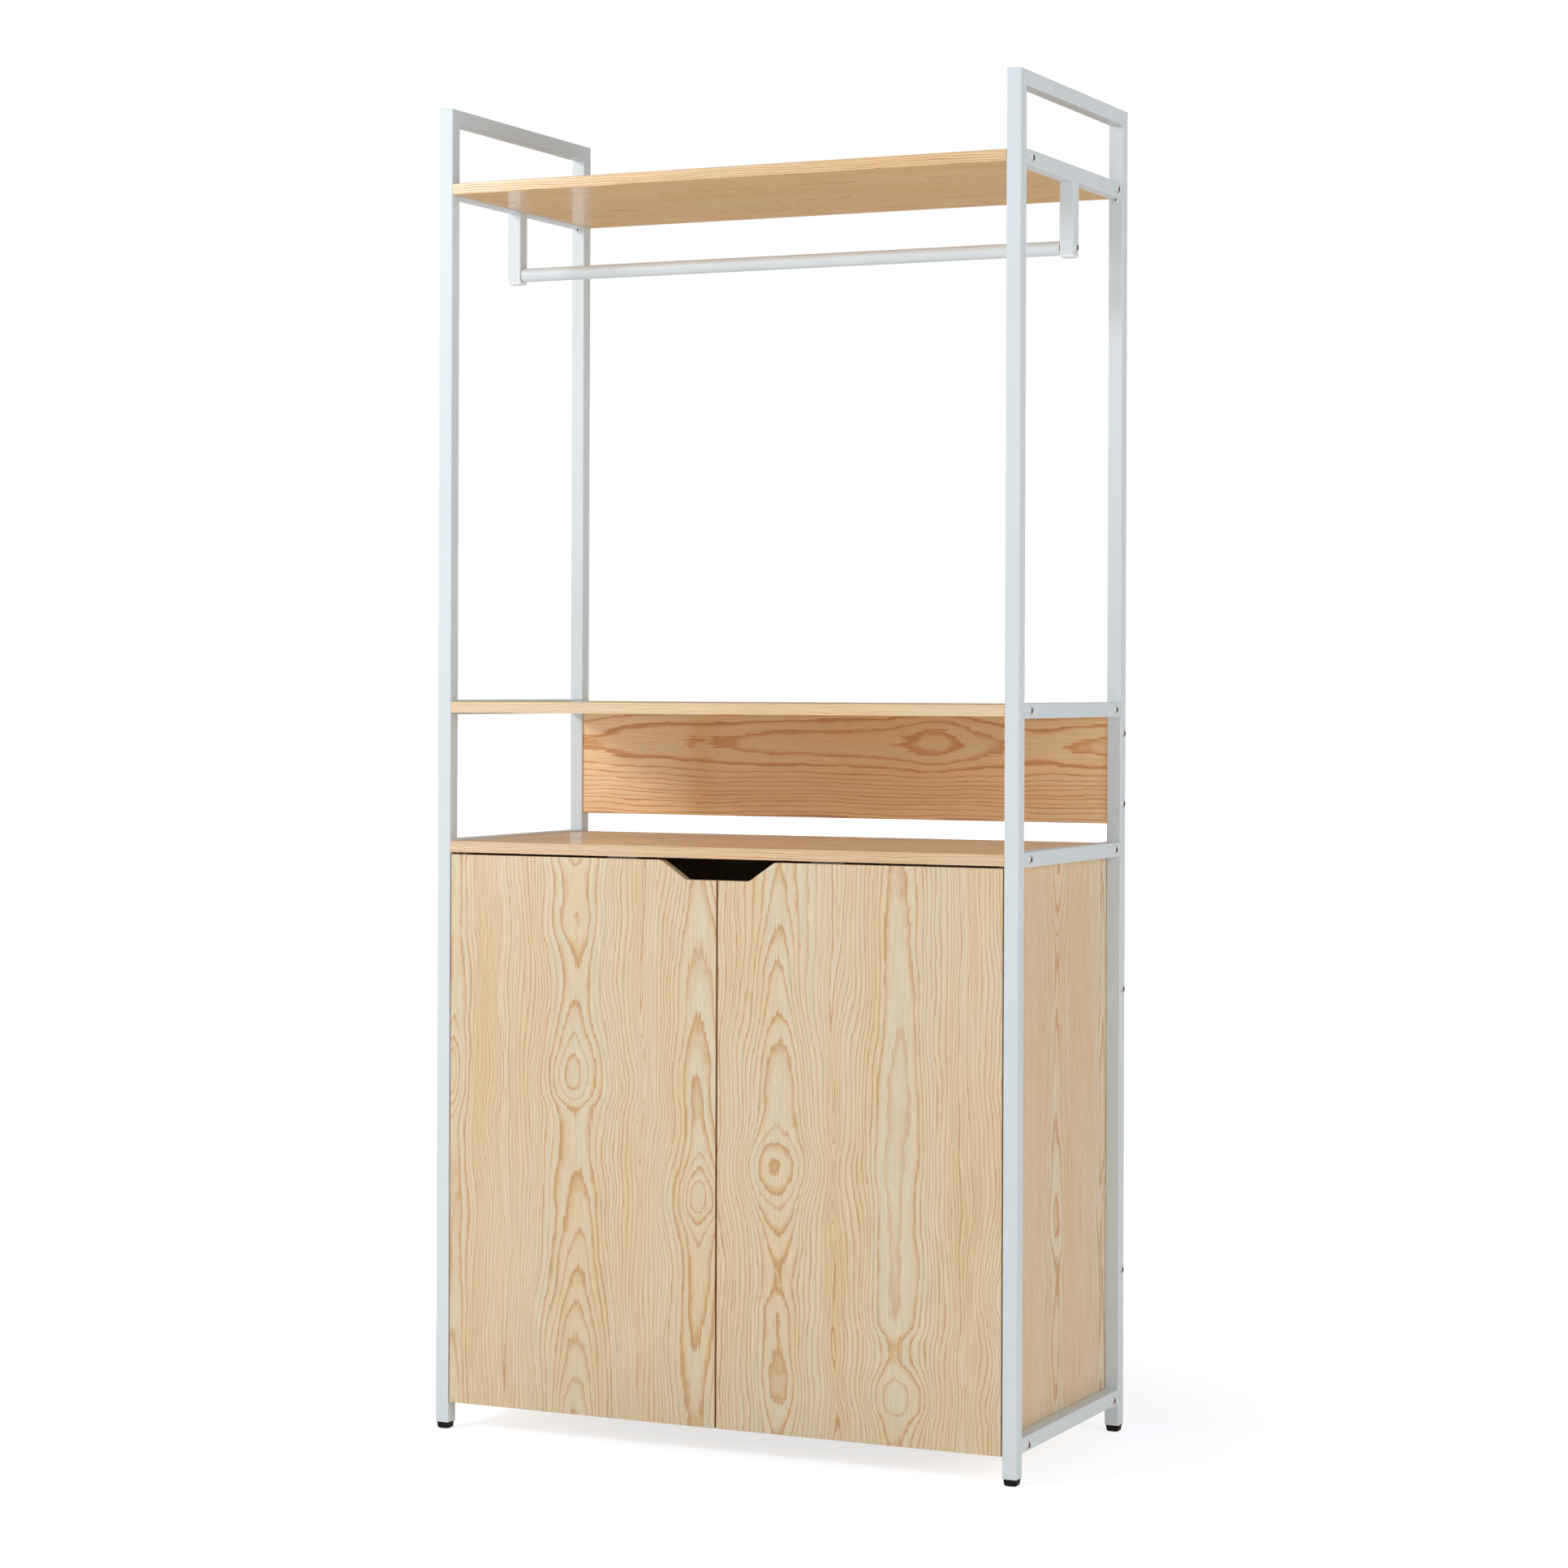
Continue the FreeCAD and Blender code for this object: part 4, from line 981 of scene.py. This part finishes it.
class HALLSTAND_OT_vents(bpy.types.Operator):
    """Makes the weld bead with its vent on each rear post, just under the upper shelf rail"""

    bl_idname = "hall_stand.vents"
    bl_label = "Vents"

    # Shares of the bead's radius and rise, and of the vent's radius
    RISE = 0.3
    VENT_FLOOR = 0.2
    CROWN = (0.6, 0.9)
    SHOULDER = (0.88, 0.5)
    DROP = 1.5
    VENT_MARGIN = 1.01
    # Gap between the bead and the rail above it
    CLEARANCE = 0.0001

    def execute(self, context):
        settings = context.scene.hall_stand_fittings
        radius, hole = settings.vent_radius, settings.vent_hole
        rise = radius * self.RISE
        slope = [(radius * out, rise * up) for out, up in (self.CROWN, self.SHOULDER)]
        floor = rise * self.VENT_FLOOR
        profile = ((0, floor), (hole, floor), (hole, rise), *slope, (radius, 0), (0, 0))
        vent = spun(profile, settings.segments)
        places = []
        for word in SIDES:
            low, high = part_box(f"{word}_rear_post")
            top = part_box(f"{word}_upper_shelf_rail")[0].z
            place = Vector(((low.x + high.x) / 2, low.y, top - hole * self.DROP))
            places.append(facing((0, -1, 0), place))
        beads = copies(vent, places)
        cut = bmesh.ops.bisect_plane(
            beads, geom=beads.verts[:] + beads.edges[:] + beads.faces[:],
            plane_co=(0, 0, top - self.CLEARANCE), plane_no=(0, 0, 1), clear_outer=True,
        )
        rim = [part for part in cut["geom_cut"] if isinstance(part, bmesh.types.BMEdge)]
        bmesh.ops.holes_fill(beads, edges=rim)
        # Faces of the vent hole take the second material, black painted shade that stands in for
        # the hole's depth
        for face in beads.faces:
            middle = face.calc_center_median()
            reach = min((middle - place.translation).xz.length for place in places)
            face.material_index = int(reach < hole * self.VENT_MARGIN)
            face.smooth = not face.material_index
        finish = (bpy.data.materials["white_powder_coat"], bpy.data.materials["screw_recess"])
        shape_object("post_vents", beads, finish, "carcass")
        return {"FINISHED"}


class HALLSTAND_OT_shadow_rings(bpy.types.Operator):
    """Puts a thin black ring of painted shadow round each plug of the clothes rail"""

    bl_idname = "hall_stand.seams"
    bl_label = "Seams"

    SEGMENTS = 64

    def execute(self, context):
        settings = context.scene.hall_stand_fittings
        places = []
        for word, side in SIDES.items():
            plug_low, plug_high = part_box(f"{word}_rail_plug")
            place = (plug_low + plug_high) / 2
            place.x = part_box(f"{word}_hanging_bracket")[1 if side < 0 else 0].x
            places.append(facing((-side, 0, 0), place))
        plug_radius = (plug_high.z - plug_low.z) / 2
        radius, width = plug_radius + settings.shadow_ring_rise, settings.shadow_ring_width
        shadow_ring = spun(((0, 0), (radius, 0), (radius, width), (0, width)), self.SEGMENTS)
        # The ring's only material is black painted shade
        finish = (bpy.data.materials["screw_recess"],)
        shape_object("rail_seams", copies(shadow_ring, places), finish, "carcass")
        return {"FINISHED"}


class HALLSTAND_OT_hinge_screws(bpy.types.Operator):
    """Adds the small screws that hold the hinge cups, the arm plates and the strike plates"""

    bl_idname = "hall_stand.hinge_screws"
    bl_label = "Hinge screws"

    # Shares of a head's radius and rise, and its sides
    RECESS_WIDTH = 1.1
    RECESS_SLOT = 0.26
    RECESS_DEPTH = 0.8
    HEAD_EDGE = 0.3
    SHANK_RADIUS = 0.5
    SHANK_LENGTH = 0.2
    SEGMENTS = 24
    # Where the screws sit: shares of the cup's width, the arm's depth and the catch's length
    CUP_FLANGE = 0.3
    ARM_PLATE = 0.66
    CATCH_END = 0.36
    ARM_PLATE_THICKNESS = 0.002
    # How far round each kind's first screw is turned
    CUP_TURN = 2
    PLATE_TURN = 5

    def execute(self, context):
        settings = context.scene.hall_stand_fittings
        for word, side in SIDES.items():
            door = f"{word}_door"
            for name, places, body in (
                ("cup_screws", self.cup_places(word, side, settings), door),
                ("plate_screws", self.plate_places(word, side, settings), "carcass"),
                ("catch_screws", self.catch_places(word), "carcass"),
                ("strike_screw", self.strike_places(word), door),
            ):
                self.make(f"{word}_{name}", places, settings, body)
        return {"FINISHED"}

    def make(self, name, places, settings, body):
        """One piece with a small screw at each place."""
        radius, rise = settings.small_head, settings.small_rise
        recess = (radius * self.RECESS_WIDTH, radius * self.RECESS_SLOT, rise * self.RECESS_DEPTH)
        screw = screw_shape(
            radius, rise * self.HEAD_EDGE, rise, recess,
            radius * self.SHANK_RADIUS, radius * self.SHANK_LENGTH, self.SEGMENTS,
        )
        # The second material paints the recesses with black shade
        finish = (bpy.data.materials["hinge_nickel"], bpy.data.materials["screw_recess"])
        shape_object(name, copies(screw, places), finish, body)

    def hinge_places(self, direction, pitch, seats, first_turn):
        """Two screws at each seat, one above it and one below."""
        return [
            facing(direction, seat + Vector((0, 0, step * pitch)), GOLDEN_TURN * turn)
            for seat in seats
            for turn, step in enumerate((-0.5, 0.5), start=first_turn)
        ]

    def cup_places(self, word, side, settings):
        """Two screws on each cup's flange, behind the cup."""
        seats = []
        for end in ("lower", "upper"):
            low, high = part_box(f"{word}_{end}_hinge_cup")
            inner_x = high.x if side < 0 else low.x
            x = inner_x + side * (high.x - low.x) * self.CUP_FLANGE
            seats.append(Vector((x, high.y, (low.z + high.z) / 2)))
        return self.hinge_places((0, 1, 0), settings.cup_screw_pitch, seats, self.CUP_TURN)

    def plate_places(self, word, side, settings):
        """Two screws on each arm's plate, above and below the arm."""
        seats = []
        panel_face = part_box(f"{word}_side_panel")[1 if side < 0 else 0].x
        for end in ("lower", "upper"):
            low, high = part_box(f"{word}_{end}_hinge_arm")
            x = panel_face - side * self.ARM_PLATE_THICKNESS
            y = low.y + (high.y - low.y) * self.ARM_PLATE
            seats.append(Vector((x, y, (low.z + high.z) / 2)))
        return self.hinge_places((-side, 0, 0), settings.plate_screw_pitch, seats, self.PLATE_TURN)

    def catch_places(self, word):
        """Two screws up through each catch."""
        low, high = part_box(f"{word}_magnetic_catch")
        middle = (low + high) / 2
        spread = (high.x - low.x) * self.CATCH_END
        return [
            facing((0, 0, -1), (middle.x + step * spread, middle.y, low.z), GOLDEN_TURN * step)
            for step in (-1, 1)
        ]

    def strike_places(self, word):
        """One screw in the middle of each strike plate."""
        low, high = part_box(f"{word}_strike_plate")
        middle = (low + high) / 2
        return [facing((0, 1, 0), (middle.x, high.y, middle.z), GOLDEN_TURN)]


# Stage

FLOOR_SIZE = 30.0
FLOOR_ROUGHNESS = 0.9
# The shadow's reach divided by these: nearer than the first the floor gives off no light, and past
# the second it gives off all of it and starts to fade to white
UNLIT_PART = 6
SHADED_PART = 3
SENSOR_WIDTH = 36.0
STAND_MIDDLE = (0, 0, 0.9)
# World directions. A tilt goes from 0, level, to 1, straight up or down, and depth goes from -1,
# in front of the stand, to 1, behind it.
HORIZON_TILTS = (0.1, 0.6)
BEHIND_DEPTHS = (-0.2, 0.3)
BEHIND_TILTS = (0.7, 0.4)


class Lamp(NamedTuple):
    """Where a square lamp stands, what it faces and how wide it is."""

    place: tuple
    target: tuple
    size: float


# Each lamp's power is the stage setting of its name
LAMPS = {
    "key": Lamp((-2.4, -3.0, 2.6), STAND_MIDDLE, 1.2),
    "front": Lamp((-0.6, -4.8, 2.0), STAND_MIDDLE, 2.4),
    "fill": Lamp((5.2, -1.6, 2.0), STAND_MIDDLE, 2.4),
    "left_glint": Lamp((-2.58, -4.0, 0.8), (-0.37, 0.18, 0.9), 0.4),
    "right_glint": Lamp((-1.2, -4.0, 0.8), (0.36, 0.18, 0.9), 0.3),
}


def floor_material(settings):
    """White floor that lights the stand and keeps its shadow, but hardly shows in gloss."""
    material, shader = new_material("floor")
    shader.surface.inputs["Roughness"].default_value = FLOOR_ROUGHNESS
    shader.surface.inputs["Specular IOR Level"].default_value = 0.0
    shader.surface.inputs["Emission Strength"].default_value = 1.0
    path = shader.node("ShaderNodeLightPath").outputs
    measure = shader.node("ShaderNodeVectorMath", {0: shader.object_place()}, operation="LENGTH")
    distance = measure.outputs["Value"]
    far = settings.shadow_reach
    near, under = far / SHADED_PART, far / UNLIT_PART
    glow = (settings.floor_glow,) * 3
    seen = shader.mix(shader.span(distance, near, far), glow, (1, 1, 1))
    lift = shader.mix(shader.span(distance, under, near), (0, 0, 0), settings.floor_lift)
    layers = (
        ("Base Color", settings.floor_bounce, (0, 0, 0), settings.floor),
        ("Emission Color", lift, settings.mirrored, seen),
    )
    for socket, lit, mirrored, to_camera in layers:
        unseen = shader.mix(path["Is Glossy Ray"], lit, mirrored)
        colour_of = shader.mix(path["Is Camera Ray"], unseen, to_camera)
        shader.put(shader.surface.inputs[socket], colour_of)
    return material


def studio_world(settings):
    """Soft light from all round, plain white to the camera, and darker behind to the gloss."""
    world = bpy.data.worlds.new("studio")
    bpy.context.scene.world = world
    world.use_nodes = True
    shader = Shader(world.node_tree)
    path = shader.node("ShaderNodeLightPath").outputs
    direction = shader.node("ShaderNodeTexCoord").outputs["Generated"]
    parts = shader.node("ShaderNodeSeparateXYZ", {0: direction}).outputs
    tilt = shader.math("ABSOLUTE", parts["Z"])
    light = shader.span(tilt, *HORIZON_TILTS, settings.horizon_light, settings.sky_light)
    low = shader.span(tilt, *BEHIND_TILTS)
    behind = shader.scale(shader.span(parts["Y"], *BEHIND_DEPTHS), low)
    mirrored = shader.mix(behind, (1, 1, 1), settings.mirrored)
    unseen = shader.mix(path["Is Glossy Ray"], shader.grey(light), mirrored)
    clear = shader.math("MAXIMUM", path["Is Camera Ray"], path["Is Transmission Ray"])
    background = world.node_tree.nodes["Background"]
    shader.put(background.inputs["Color"], shader.mix(clear, unseen, (1, 1, 1)))


def soft_lamp(name, lamp, power):
    """Square lamp that faces its target."""
    data = bpy.data.lights.new(name, "AREA")
    data.shape = "SQUARE"
    data.size = lamp.size
    data.energy = power
    made = linked(name, data)
    made.location = lamp.place
    aim = Vector(lamp.target) - Vector(lamp.place)
    made.rotation_euler = aim.to_track_quat("-Z", "Y").to_euler()


class HALLSTAND_OT_stage(bpy.types.Operator):
    """Makes the floor, the background, the lamps and the camera"""

    bl_idname = "hall_stand.stage"
    bl_label = "Stage"

    def execute(self, context):
        settings = context.scene.hall_stand_stage
        self.make_floor(settings)
        studio_world(settings)
        for name, lamp in LAMPS.items():
            soft_lamp(name, lamp, getattr(settings, f"{name}_power"))
        self.make_camera(context, settings)
        context.scene.view_settings.view_transform = "Standard"
        return {"FINISHED"}

    def make_floor(self, settings):
        """Large flat floor, which isn't part of the stand."""
        floor = bmesh.new()
        bmesh.ops.create_grid(floor, x_segments=1, y_segments=1, size=FLOOR_SIZE)
        mesh = bpy.data.meshes.new("floor")
        floor.to_mesh(mesh)
        floor.free()
        mesh.materials.append(floor_material(settings))
        linked("floor", mesh)

    def make_camera(self, context, settings):
        """Camera where the photograph was taken."""
        data = bpy.data.cameras.new("camera")
        data.sensor_width = SENSOR_WIDTH
        data.lens = settings.lens
        data.shift_y = settings.shift_up
        camera = linked("camera", data)
        camera.matrix_world = (
            Matrix.Translation(settings.camera_place)
            @ Matrix.Rotation(math.radians(settings.camera_turn), 4, "Z")
            @ Matrix.Rotation(math.pi / 2, 4, "X")
            @ Matrix.Rotation(math.radians(settings.camera_roll), 4, "Z")
        )
        context.scene.camera = camera


OPERATORS = (
    HALLSTAND_OT_boards,
    HALLSTAND_OT_side_frames,
    HALLSTAND_OT_fittings,
    HALLSTAND_OT_frame_screws,
    HALLSTAND_OT_vents,
    HALLSTAND_OT_shadow_rings,
    HALLSTAND_OT_hinge_screws,
    HALLSTAND_OT_stage,
)


class HALLSTAND_PT_panel(bpy.types.Panel):
    """Lists the steps that dress the stand, with their settings"""

    bl_idname = "HALLSTAND_PT_panel"
    bl_label = "Hall stand"
    bl_space_type = "VIEW_3D"
    bl_region_type = "UI"
    bl_category = "Hall stand"

    def draw(self, context):
        for operator in OPERATORS:
            self.layout.operator(operator.bl_idname)
        for name, group in GROUPS.items():
            box = self.layout.box()
            settings = getattr(context.scene, name)
            for key in group.__annotations__:
                box.prop(settings, key)


def register():
    for group in GROUPS.values():
        bpy.utils.register_class(group)
    for name, group in GROUPS.items():
        setattr(bpy.types.Scene, name, PointerProperty(type=group))
    for operator in OPERATORS:
        bpy.utils.register_class(operator)
    bpy.utils.register_class(HALLSTAND_PT_panel)


def unregister():
    bpy.utils.unregister_class(HALLSTAND_PT_panel)
    for operator in reversed(OPERATORS):
        bpy.utils.unregister_class(operator)
    for name, group in GROUPS.items():
        delattr(bpy.types.Scene, name)
        bpy.utils.unregister_class(group)


def main():
    register()
    bpy.ops.hall_stand.boards()
    bpy.ops.hall_stand.side_frames()
    bpy.ops.hall_stand.fittings()
    bpy.ops.hall_stand.frame_screws()
    bpy.ops.hall_stand.vents()
    bpy.ops.hall_stand.seams()
    bpy.ops.hall_stand.hinge_screws()
    bpy.ops.hall_stand.stage()


if __name__ == "__main__":
    main()
